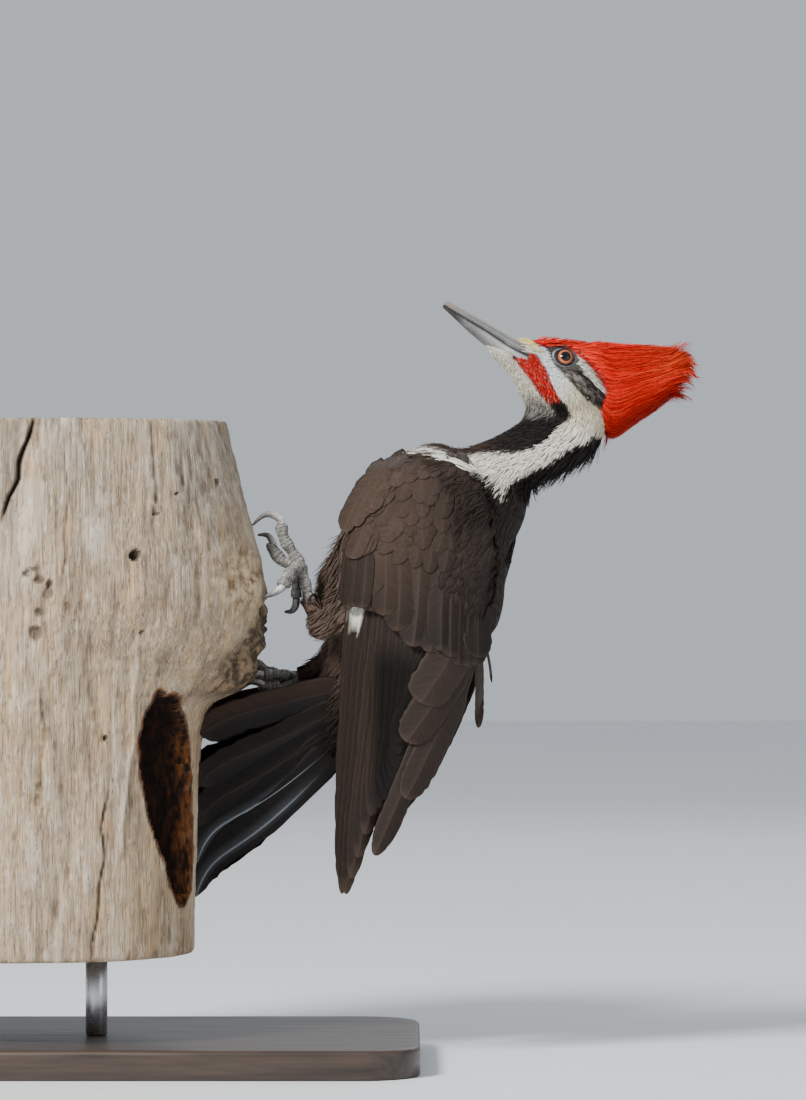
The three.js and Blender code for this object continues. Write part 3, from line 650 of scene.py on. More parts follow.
class SurfaceMap:
    """The nearest vertex of a surface for any place near it, from a lattice of cells."""

    CELL = 1.5
    MARGIN = 12

    def __init__(self, points, normals):
        """Each vertex marks its cell, then marks spread to neighbouring cells, the nearer vertex winning."""
        self.points, self.normals = points, normals
        self.low = points.min(0) - self.MARGIN
        shape = np.ceil((points.max(0) + self.MARGIN - self.low) / self.CELL).astype(int) + 1
        cells = ((points - self.low) / self.CELL).astype(int)
        self.index = np.full(shape, -1, np.int32)
        self.index[tuple(cells.T)] = np.arange(len(points))
        centre = np.stack(np.meshgrid(*[np.arange(n) for n in shape], indexing="ij"), -1)
        centre = (self.low + (centre + 0.5) * self.CELL).astype(np.float32)
        short = points.astype(np.float32)
        best = np.where(self.index >= 0, np.linalg.norm(short[self.index] - centre, axis=-1), np.inf)
        for _ in range(7):
            for axis in range(3):
                for step in (1, -1):
                    moved = np.roll(self.index, step, axis)
                    away = np.where(moved >= 0, np.linalg.norm(short[moved] - centre, axis=-1), np.inf)
                    closer = away < best
                    self.index[closer] = moved[closer]
                    best[closer] = away[closer]

    def nearest(self, places):
        """Index of the vertex that marks the cell of each place."""
        cells = ((places - self.low) / self.CELL).astype(int)
        cells = np.clip(cells, 0, np.array(self.index.shape) - 1)
        return self.index[cells[..., 0], cells[..., 1], cells[..., 2]]

    def settle(self, places):
        """Places moved on to the tangent plane of their nearest vertex, and that vertex's normal."""
        found = self.nearest(places)
        normal = self.normals[found]
        height = ((places - self.points[found]) * normal).sum(-1, keepdims=True)
        return places - normal * height, normal


def spine_flow(points):
    """Share along the back of each point's nearest station, and the direction from there towards the tail."""
    share = np.linspace(0, 1, 90)
    line = along(SPINE, share)[:, :2]
    near = np.empty(len(points), int)
    for part in np.array_split(np.arange(len(points)), max(1, len(points) // 20000)):
        near[part] = ((points[part][:, None, [0, 2]] - line[None]) ** 2).sum(-1).argmin(1)
    way = -unit(np.gradient(line, axis=0))[near]
    return share[near], np.stack([way[:, 0], 0 * way[:, 0], way[:, 1]], -1)


def head_weight(points):
    """1 on the head and 0 on the body, changing over a few mm at the plane between head and neck."""
    lean = math.radians(HEAD_CUT["lean"])
    height = (points[:, 0] - HEAD_CUT["x"]) * math.cos(lean) + (points[:, 2] - HEAD_CUT["z"]) * math.sin(lean)
    return ramp(-7, 9, height)


CREST_WAY = unit(np.array([1.0, 0.12, -0.12]))


def coat_flow(points):
    """The lie of the coat: to the tail on the body, back over the head, out to the crest on the crown."""
    _, way = spine_flow(points)
    local = to_head(points)
    back = -HEAD_AXES[0] - 0.35 * HEAD_AXES[2] * ramp(2, -12, local[:, 2:3])
    crown = ramp(4, 13, local[:, 2:3] + 0.35 * np.maximum(0, -local[:, :1]))
    back = mix(unit(back), CREST_WAY, crown)
    throat = ramp(-12, -25, local[:, 2:3]) * ramp(26, 4, local[:, :1])
    back = mix(back, unit(way + np.array([0, 0, -0.5])), 0.7 * throat)
    weight = head_weight(points)[:, None]
    legs = np.zeros_like(points)
    near_leg = np.zeros((len(points), 1))
    for name in LEGS:
        hip, heel, _, cuff = leg_points(name)
        shin = unit(heel - hip)
        distance = np.linalg.norm(np.cross(points - hip, shin), axis=-1, keepdims=True)
        close = ramp(24, 14, distance) * ramp(-6, 10, ((points - hip) @ shin)[:, None])
        sock = ramp(11, 6, np.linalg.norm(points - cuff, axis=-1, keepdims=True))
        legs += close * mix(shin, unit(cuff - heel), sock)
        near_leg = np.maximum(near_leg, close)
    return unit(mix(mix(way, unit(back), weight), unit(legs + 1e-6), 0.8 * near_leg))


def shaded(colour, share, deep):
    """A colour from deep times itself to itself."""
    return colour * mix(deep, 1.0, share)[:, None]


def markings(points, plumage):
    """Colour of the coat at each point, from the marking outlines, each faded over its feathery edge; the
    brown of the body is partly painted sunlight.
    """
    black, brown = np.array(plumage.black), np.array(plumage.brown)
    scarlet, white = np.array(plumage.scarlet), np.array(plumage.white)
    share, _ = spine_flow(points)
    local = to_head(points)
    on_head = head_weight(points)
    # Painted sunlight: the belly, the vent, the flank and the bend of the neck are mixed from black towards
    # brown and tan, partly the real brown of worn feathers.
    belly = ramp(0.95, 0.2, share) * ramp(10, -30, points[:, 0] - along(SPINE, share)[:, 0])
    sunlit_crook = ramp(212, 196, points[:, 0]) * ramp(332, 338, points[:, 2])
    flank = 0.45 * ramp(0.9, 0.7, share) * ramp(60, 10, np.abs(points[:, 0] - 180))
    vent = np.minimum(1, 1.7 * belly * ramp(150, 122, points[:, 0]))
    tan = mix(brown, brown * np.array([2.35, 2.4, 2.45]), vent[:, None])
    body = mix(black, tan, np.clip(1.2 * belly + sunlit_crook + flank, 0, 1)[:, None])
    stripe = ramp(-1.2, 1.2, depth_inside(from_side(points), NECK_STRIPE))
    body = mix(body, white, stripe[:, None])

    def cover(name, softness=0.9):
        """How far each point is inside a marking of the head, from 0 to 1 over its feathery edge."""
        return ramp(-softness, softness, depth_inside(from_side(local), HEAD_MARKS[name]))[:, None]

    by_eye = ramp(15, 7, np.hypot(local[:, 0] - EYE["x"], 1.2 * (local[:, 2] - EYE["z"])))[:, None]
    head = mix(black * 0.8, np.array([0.115, 0.098, 0.085]), by_eye)
    cream = ramp(6, -14, local[:, 0])[:, None]
    cream = mix(np.array([0.80, 0.81, 0.84]), white * np.array([0.98, 0.92, 0.74]), cream)
    head = mix(head, cream, cover("stripe"))
    streaks = 0.5 + 0.5 * np.sin(local[:, 0] * 1.1 + 2.2 * local[:, 1] + 5 * np.sin(local[:, 2]))
    low = ramp(-21, -29, local[:, 2]) * ramp(16, 4, local[:, 0])
    pale = shaded(white * np.array([0.95, 0.93, 0.86]), streaks, 0.8)
    head = mix(head, mix(pale, shaded(white * 0.6, streaks, 0.2), low[:, None]), cover("throat"))
    corner = ramp(26.6, 28.2, local[:, 0])[:, None]
    red = mix(scarlet * np.array([0.85, 1.2, 1.3]), black * np.array([4.0, 2.6, 2.0]), corner)
    head = mix(head, red, cover("moustache", 0.6))
    head = mix(head, black * 0.7, cover("moustache_end"))
    dusk = 0.5 + 0.5 * np.sin(1.3 * local[:, 2] - 0.5 * local[:, 0] + 2 * np.sin(0.8 * local[:, 0]))
    dusk = np.clip(dusk * ramp(-31, -18, local[:, 0]), 0, 1)[:, None]
    fade = ramp(-18, -4, local[:, 0])[:, None]
    dusky = mix(np.array([0.19, 0.16, 0.135]), np.array([0.34, 0.30, 0.26]), fade)
    head = mix(head, mix(black * mix(1.3, 6.0, fade), dusky, dusk), cover("ear"))
    head = mix(head, white * 0.85, cover("brow", 0.6))
    nape = ramp(-5, -19, local[:, 2]) * ramp(-20, -34, local[:, 0])
    head = mix(head, shaded(scarlet, 1 - nape, 0.35), cover("crown", 1.1))
    head = mix(head, srgb(228, 214, 160), cover("nasal", 0.7))
    return mix(body, head, on_head[:, None])


def skin_chart(points):
    """A flat place for each point of the skin: its angle round the body or head, and its station along."""
    share, _ = spine_flow(points)
    line = along(SPINE, share)
    ahead = along(SPINE, share + 0.01)[:, :2] - along(SPINE, share - 0.01)[:, :2]
    square = unit(np.stack([ahead[:, 1], -ahead[:, 0]], -1))
    out = ((from_side(points) - line[:, :2]) * square).sum(-1)
    body = np.stack([0.5 + np.arctan2(points[:, 1], out) / (2.04 * np.pi), 0.01 + 0.55 * share], -1)
    local = to_head(points)
    turn = 0.5 + np.arctan2(local[:, 1], local[:, 2] + 4) / (2.04 * np.pi)
    head = np.stack([turn, np.clip(0.6 + 0.38 * (60 - local[:, 0]) / 150, 0.6, 0.99)], -1)
    return np.where(head_weight(points)[:, None] > 0.5, head, body)


# ------------------------------------------------------------------ tufts and vanes on the skin

# Sections of a tuft across and up, and the size of a feather's patch on the bake map.
HAIR = np.array([(-1.0, -0.35), (0.0, 1.0), (1.0, -0.35)])
VANE = np.array([(-1.0, -0.8), (-0.5, 0.55), (0.0, 1.0), (0.5, 0.55), (1.0, -0.8), (0.0, -0.1)])
TUFT_PATCH = 0.003
BLADE_PATCH = 0.004


def spread_roots(surface, faces, cell, keep, rng):
    """Random places on the surface where keep(places) is true, at most one in each cubic cell."""
    corners = surface.points[faces]
    area = np.linalg.norm(np.cross(corners[:, 1] - corners[:, 0], corners[:, 2] - corners[:, 0]), axis=-1)
    count = int(3.2 * area.sum() / 2 / cell**2)
    chosen = rng.choice(len(faces), count, p=area / area.sum())
    a, b = rng.random((2, count, 1))
    over = a + b > 1
    a, b = np.where(over, 1 - a, a), np.where(over, 1 - b, b)
    places = corners[chosen, 0] * (1 - a - b) + corners[chosen, 1] * a + corners[chosen, 2] * b
    cells = np.floor(places / cell).astype(np.int64)
    key = cells @ np.array([1, 4096, 4096 * 4096])
    _, first = np.unique(key, return_index=True)
    places = places[np.sort(first)]
    return places[keep(places)]


def sweep(path, side, up, section, half, deep, share, length):
    """A section swept along each path, with the place across and along the feather for its barbs."""
    across, over = half * section[:, 0], deep * section[:, 1]
    points = path[:, :, None] + side[:, :, None] * across[..., None] + up[:, :, None] * over[..., None]
    across = np.broadcast_to(across, points.shape[:3])
    return points, np.stack([across, np.broadcast_to(share * length, points.shape[:3])], -1)


def lay_tufts(surface, roots, size, sizes, section, rng, wander, flow=coat_flow, stray=0.0):
    """Tufts that follow the lie of the coat: each steps along the flow on the skin, and rises to its tip.

    Height over the skin runs from lift[0] to lift[1] as share^1.3, half width as sqrt(sin) of the share.
    """
    count, rings, lift = len(roots), sizes["rings"], sizes["lift"]
    length = (sizes["length"] * size)[:, None, None]
    path = np.empty((count, rings, 3))
    ups = np.empty((count, rings, 3))
    place, normal = surface.settle(roots)
    turn = rng.normal(0, wander, (count, 1))
    for k in range(rings):
        path[:, k], ups[:, k] = place, normal
        way = flow(place)
        way = unit(way - (way * normal).sum(-1, keepdims=True) * normal)
        aside = np.cross(normal, way)
        step = unit(way + aside * turn) * (length[:, 0] / (rings - 1))
        place, normal = surface.settle(place + step)
    share = np.linspace(0, 1, rings)[None, :, None]
    rise = lift[0] + (lift[1] - lift[0]) * share**1.3
    rise = rise + stray * rng.random((count, 1, 1)) ** 4 * share**2 * 3
    path = path + ups * rise
    way = unit(np.gradient(path, axis=1))
    side = unit(np.cross(way, ups))
    up = np.cross(side, way)
    outline = np.sqrt(np.clip(np.sin(np.pi * mix(0.1, 0.985, share**0.8)), 0.01, 1))
    half = (sizes["width"] * size**0.5)[:, None, None] / 2 * outline
    deep = (sizes["thick"] * size ** sizes.get("swell", 0))[:, None, None] / 2 * mix(1.0, 0.45, share)
    return sweep(path, side, up, section, half, deep, share, length)


def tuft_mesh(name, rings, barbs, colours, charts):
    """The tufts as one mesh with their colours, barb map and a small patch of the chart for each."""
    mesh = loft_mesh(name, rings)
    count, stations, sides, _ = rings.shape
    if colours.ndim == 2:
        colours = np.broadcast_to(colours[:, None, None], (count, stations, sides, 3))
    set_tint(mesh, colours.reshape(-1, 3))
    set_map(mesh, "Barbs", barbs.reshape(-1, 2) / 100)
    span = np.abs(barbs).reshape(count, -1, 2).max(1)[:, None, None]
    local = barbs / span * np.array([0.5, 1]) - np.array([0, 0.5])
    set_map(mesh, "OFBake", (charts[:, None, None] + local * TUFT_PATCH).reshape(-1, 2))
    return mesh


def bill_base(z):
    """How far forwards the feathers reach at each height of the head's frame."""
    return np.interp(z, [-12.4, -11.2, -9.5, -7, -4.4, -0.5, 1.5], [60, 35, 29.7, 26, 23.5, 27, 31])


def keep_clear(places):
    """True away from the eyes, the bill's base and the pads under the coverts."""
    local = to_head(places)
    eye = ((local[:, 0] - EYE["x"] - 0.3) / (LIDS["length"] - 0.1)) ** 2
    eye = eye + ((local[:, 2] - EYE["z"]) / (LIDS["height"] - 0.1)) ** 2 > 1
    bill = local[:, 0] < bill_base(local[:, 2])
    wing = depth_inside(from_side(places), COVERT_AREA) > 2.5
    wing &= (np.abs(places[:, 1]) > 15) & (places[:, 2] < 336)
    _, centre, depth, width = np.moveaxis(lookup(ENVELOPE, np.clip(places[:, 2], 86, 342)), -1, 0)
    out = width * np.sqrt(1 - np.clip((places[:, 0] - centre) / depth, -WRAP, WRAP) ** 2)
    folded = (depth_inside(from_side(places), WING_OUTLINE) > 0) & (np.abs(places[:, 1]) > out - 9)
    return eye & bill & ~wing & ~folded


# ------------------------------------------------------------------ shader node groups and finishes


def node_group(name, inputs, outputs):
    """An empty shader group with named sockets: (name, socket type, default)."""
    group = bpy.data.node_groups.new(name, "ShaderNodeTree")
    for label, kind, default in inputs:
        socket = group.interface.new_socket(label, in_out="INPUT", socket_type=kind)
        if default is not None:
            socket.default_value = default
    for label, kind in outputs:
        group.interface.new_socket(label, in_out="OUTPUT", socket_type=kind)
    return group, group.nodes.new("NodeGroupInput"), group.nodes.new("NodeGroupOutput")


LOOKS = {
    "colour": "Base Color", "rough": "Roughness", "normal": "Normal", "metal": "Metallic",
    "specular": "Specular IOR Level", "coat": "Coat Weight", "coat_rough": "Coat Roughness",
}


class Tree:
    """Short ways to add and join the nodes of one tree."""

    def __init__(self, tree):
        self.tree = tree

    def dress(self, **looks):
        """Sets or links inputs of the tree's Principled shader, by the short names in LOOKS."""
        for key, look in looks.items():
            self.put(self.tree.nodes["Principled BSDF"].inputs[LOOKS[key]], look)

    def put(self, socket, value):
        """Links the value if it is a socket, and sets it otherwise."""
        if isinstance(value, bpy.types.NodeSocket):
            self.tree.links.new(value, socket)
        else:
            socket.default_value = value

    def math(self, operation, *values):
        """One scalar operation."""
        node = self.tree.nodes.new("ShaderNodeMath")
        node.operation = operation
        for socket, value in zip(node.inputs, values):
            self.put(socket, value)
        return node.outputs[0]

    def times(self, first, second):
        """first times second."""
        return self.math("MULTIPLY", first, second)

    def fused(self, value, factor, extra):
        """value times factor, plus extra."""
        return self.math("MULTIPLY_ADD", value, factor, extra)

    def scale(self, vector, factor):
        """A vector times a factor."""
        node = self.tree.nodes.new("ShaderNodeVectorMath")
        node.operation = "SCALE"
        self.put(node.inputs[0], vector)
        self.put(node.inputs["Scale"], factor)
        return node.outputs[0]

    def combine(self, x, y, z):
        """A vector from its parts."""
        node = self.tree.nodes.new("ShaderNodeCombineXYZ")
        for socket, value in zip(node.inputs, (x, y, z)):
            self.put(socket, value)
        return node.outputs[0]

    def separate(self, vector):
        """The parts of a vector."""
        node = self.tree.nodes.new("ShaderNodeSeparateXYZ")
        self.put(node.inputs[0], vector)
        return node.outputs

    def noise(self, vector, scale, detail=3.0, roughness=0.55):
        """Soft noise about 0.5."""
        node = self.tree.nodes.new("ShaderNodeTexNoise")
        self.put(node.inputs["Vector"], vector)
        self.put(node.inputs["Scale"], scale)
        node.inputs["Detail"].default_value = detail
        node.inputs["Roughness"].default_value = roughness
        return node.outputs["Fac"]

    def cells(self, vector, scale, feature="F1"):
        """Distance to the nearest point or edge of random cells."""
        node = self.tree.nodes.new("ShaderNodeTexVoronoi")
        node.feature = feature
        self.put(node.inputs["Vector"], vector)
        self.put(node.inputs["Scale"], scale)
        return node.outputs["Distance"]

    def span(self, value, low, high, to_low=0.0, to_high=1.0):
        """The value brought from one range to another."""
        node = self.tree.nodes.new("ShaderNodeMapRange")
        settings = {"Value": value, "From Min": low, "From Max": high, "To Min": to_low, "To Max": to_high}
        for key, setting in settings.items():
            self.put(node.inputs[key], setting)
        return node.outputs[0]

    def blend(self, share, first, second, way="MIX"):
        """Two colours mixed by a share."""
        node = self.tree.nodes.new("ShaderNodeMix")
        node.data_type = "RGBA"
        node.blend_type = way
        self.put(node.inputs[0], share)
        for socket, value in ((node.inputs[6], first), (node.inputs[7], second)):
            self.put(socket, value if isinstance(value, bpy.types.NodeSocket) else tuple(value[:3]) + (1.0,))
        return node.outputs[2]

    def group(self, group, **values):
        """The outputs of a node group."""
        node = self.tree.nodes.new("ShaderNodeGroup")
        node.node_tree = group
        for key, value in values.items():
            self.put(node.inputs[key], value)
        return node.outputs

    def attribute(self, name):
        """The outputs of an attribute of the mesh."""
        node = self.tree.nodes.new("ShaderNodeAttribute")
        node.attribute_name = name
        return node.outputs

    def place(self):
        """Place in the object, in m."""
        return self.tree.nodes.new("ShaderNodeTexCoord").outputs["Object"]

    def bump(self, height, distance):
        """A normal from a height."""
        node = self.tree.nodes.new("ShaderNodeBump")
        node.inputs["Distance"].default_value = distance
        self.put(node.inputs["Height"], height)
        return node.outputs[0]


def finish(name):
    """A new material and its tree."""
    material = bpy.data.materials.new(name)
    material.use_nodes = True
    return material, Tree(material.node_tree)


BARB_PITCH = 150.0  # barbs in each unit of the barb map
TONE_HEIGHT = [("Tone", "NodeSocketFloat"), ("Height", "NodeSocketFloat")]


def barb_group():
    """Barbs: noise drawn out along lines that leave the shaft at about 45 degrees, with a fine ripple."""
    if "barbs" in bpy.data.node_groups:
        return bpy.data.node_groups["barbs"]
    inputs = [("Map", "NodeSocketVector", None), ("Strength", "NodeSocketFloat", 0.3)]
    group, start, end = node_group("barbs", inputs, TONE_HEIGHT)
    tree = Tree(group)
    across, reach, _ = tree.separate(start.outputs["Map"])
    barb = tree.fused(tree.math("ABSOLUTE", across), -0.9, reach)
    drawn = tree.combine(tree.times(barb, BARB_PITCH), tree.times(across, 12.0), 0.0)
    streak = tree.noise(drawn, 1.0, 4.0, 0.6)
    ripple = tree.math("SINE", tree.times(barb, 7.0 * BARB_PITCH))
    low = tree.math("SUBTRACT", 1.0, start.outputs["Strength"])
    high = tree.math("ADD", 1.0, start.outputs["Strength"])
    group.links.new(tree.span(streak, 0.25, 0.75, low, high), end.inputs["Tone"])
    group.links.new(tree.fused(ripple, 0.25, streak), end.inputs["Height"])
    return group


def drift_group():
    """Drift: slow and fine noise on object places, for uneven colour and a rough surface."""
    if "drift" in bpy.data.node_groups:
        return bpy.data.node_groups["drift"]
    inputs = [("Vector", "NodeSocketVector", None), ("Scale", "NodeSocketFloat", 60.0),
              ("Strength", "NodeSocketFloat", 0.3)]
    group, start, end = node_group("drift", inputs, TONE_HEIGHT)
    tree = Tree(group)
    slow = tree.noise(start.outputs["Vector"], start.outputs["Scale"], 4.0)
    fine = tree.noise(start.outputs["Vector"], tree.times(start.outputs["Scale"], 9.0), 3.0, 0.65)
    both = tree.fused(fine, 0.45, tree.times(slow, 0.55))
    low = tree.math("SUBTRACT", 1.0, start.outputs["Strength"])
    high = tree.math("ADD", 1.0, start.outputs["Strength"])
    group.links.new(tree.span(both, 0.3, 0.7, low, high), end.inputs["Tone"])
    group.links.new(both, end.inputs["Height"])
    return group


def feather_finish(name, strength, matt, glossy, specular, bump=0.00025):
    """Feathers: the tint attribute toned by barbs, glossier where the tint's alpha is high."""
    material, tree = finish(name)
    tint = tree.attribute("tint")
    barbs = tree.group(barb_group(), Map=tree.attribute("Barbs")["Vector"], Strength=strength)
    tree.dress(
        colour=tree.scale(tint["Color"], barbs["Tone"]),
        rough=tree.span(tint["Alpha"], 0.0, 1.0, matt, glossy),
        normal=tree.bump(barbs["Height"], bump),
        specular=specular,
    )
    return material


def skin_finish():
    """Skin: the tint attribute, uneven and rough as down."""
    material, tree = finish("down_skin")
    drift = tree.group(drift_group(), Vector=tree.place(), Scale=160.0, Strength=0.35)
    tree.dress(
        colour=tree.scale(tree.attribute("tint")["Color"], drift["Tone"]),
        normal=tree.bump(drift["Height"], 0.0012),
        rough=0.85,
        specular=0.2,
    )
    return material


# ------------------------------------------------------------------ stage and camera

LIGHTS = {
    # place and width in m, and the setting that gives its power
    "key": ((-1.5, -1.9, 2.0), 0.8, "key"),
    "fill": ((2.2, -1.8, 0.8), 1.6, "fill"),
    "back": ((0.8, 2.2, 1.6), 1.4, "fill"),
}
LIT_PLACE = (0.12, 0, 0.28)  # what the lamps face
SKY = {"colour": (0.80, 0.86, 0.93, 1), "strength": 0.66}
# Place of the camera and the height it shows in m, and the height of its sensor in mm.
CAMERA = {"x": 0.1557, "z": 0.2816, "shows": 0.605, "sensor": 36}
FLOOR_REACH = 6000.0  # mm


class WOODPECKER_OT_stage(bpy.types.Operator):
    """Adds the floor, the pale surroundings, the lights and the camera"""

    bl_idname = "woodpecker.stage"
    bl_label = "Stage"

    def execute(self, context):
        stage = context.scene.woodpecker_stage
        self.floor(stage)
        self.surroundings(context.scene)
        for name, (place, size, setting) in LIGHTS.items():
            self.light(name, place, size, getattr(stage, setting))
        self.camera(context.scene, stage.distance)
        return {"FINISHED"}

    def floor(self, stage):
        """A plain wide floor, which is stage only."""
        corner = np.array([(-1, -1), (1, -1), (1, 1), (-1, 1)]) * FLOOR_REACH
        points = np.concatenate([corner, np.zeros((4, 1))], 1)
        mesh = make_mesh("floor", points, np.array([[0, 1, 2, 3]]))
        floor = show("floor", mesh)
        material, tree = finish("floor_paint")
        drift = tree.group(drift_group(), Vector=tree.place(), Scale=3.0, Strength=0.03)
        tree.dress(colour=tree.scale(tuple(stage.floor), drift["Tone"]), rough=0.7)
        mesh.materials.append(material)

    def surroundings(self, scene):
        """An even pale sky."""
        world = bpy.data.worlds.new("studio")
        world.use_nodes = True
        sky = world.node_tree.nodes["Background"].inputs
        sky["Color"].default_value = SKY["colour"]
        sky["Strength"].default_value = SKY["strength"]
        scene.world = world

    def light(self, name, place, size, power):
        """A round lamp that faces the model."""
        lamp = bpy.data.lights.new(name, "AREA")
        lamp.shape = "DISK"
        lamp.size = size
        lamp.energy = power
        lit = show(name, lamp)
        lit.location = place
        aim = np.array(LIT_PLACE) - np.array(place)
        flat = math.hypot(aim[0], aim[1])
        lit.rotation_euler = (math.pi / 2 + math.atan2(aim[2], flat), 0, math.atan2(-aim[0], aim[1]))

    def camera(self, scene, distance):
        """Level with the middle of the model; the lens shows a set height at the bird."""
        view = bpy.data.cameras.new("camera")
        view.sensor_fit = "VERTICAL"
        view.sensor_height = CAMERA["sensor"]
        view.lens = CAMERA["sensor"] * distance / CAMERA["shows"]
        seen = show("camera", view)
        seen.location = (CAMERA["x"], -distance, CAMERA["z"])
        seen.rotation_euler = (math.pi / 2, 0, 0)
        scene.camera = seen


# ------------------------------------------------------------------ skin and its coat

CACHE = {}


def skin_surface():
    """The surface map and the triangles of the finished skin, worked out once."""
    if "skin" not in CACHE:
        mesh = bpy.data.objects["skin"].data
        count = len(mesh.vertices)
        place, normal = np.empty(count * 3, np.float32), np.empty(count * 3, np.float32)
        mesh.vertices.foreach_get("co", place)
        mesh.vertex_normals.foreach_get("vector", normal)
        mesh.calc_loop_triangles()
        corner = np.empty(len(mesh.loop_triangles) * 3, np.int32)
        mesh.loop_triangles.foreach_get("vertices", corner)
        surface = SurfaceMap(place.reshape(-1, 3).astype(float) / MM, normal.reshape(-1, 3).astype(float))
        CACHE["skin"] = (surface, corner.reshape(-1, 3))
    return CACHE["skin"]


class WOODPECKER_OT_skin(bpy.types.Operator):
    """Builds the one skin that lies under the coat"""

    bl_idname = "woodpecker.skin"
    bl_label = "Skin"

    def execute(self, context):
        plumage = context.scene.woodpecker_plumage
        mesh = build_skin(plumage.coat_depth)
        nodes = ["trunk", "tail_coverts", "neck", "head", "crest"]
        nodes += [f"thigh_{side}" for side in LEGS]
        nodes += [f"wing_{side}_coverts" for side in LEGS]
        add_piece("skin", mesh, skin_finish(), "plumage", *nodes)
        surface, _ = skin_surface()
        # The skin is darker than the coat's tufts: painted shade between the feathers.
        set_tint(mesh, markings(surface.points, plumage) * 0.6)
        return {"FINISHED"}


# Kinds of tufts in mm: room for each, length, width, thickness, height at root and tip, and sections along.
COAT = {
    "body": {"cell": 2.7, "length": 17, "width": 7.4, "thick": 0.3, "lift": (0.1, 0.55), "rings": 6},
    "fluff": {"cell": 2.1, "length": 12, "width": 0.8, "thick": 0.45, "lift": (0.3, 3.0), "rings": 6},
    "neck": {"cell": 1.35, "length": 8.5, "width": 1.3, "thick": 0.4, "lift": (0.1, 1.9), "rings": 5},
    "fringe": {"cell": 2.3, "length": 12, "width": 0.8, "thick": 0.4, "lift": (0.5, 5.0), "rings": 6},
    "rim": {"cell": 2.2, "length": 14, "width": 4.4, "thick": 0.3, "lift": (0.2, 0.9), "rings": 6},
    "face": {"cell": 0.96, "length": 3.4, "width": 0.66, "thick": 0.3, "lift": (0.05, 0.75), "rings": 4},
}
NASAL = {"cell": 0.75, "length": 3.8, "width": 0.62, "thick": 0.3, "lift": (0.5, 1.5), "rings": 5}


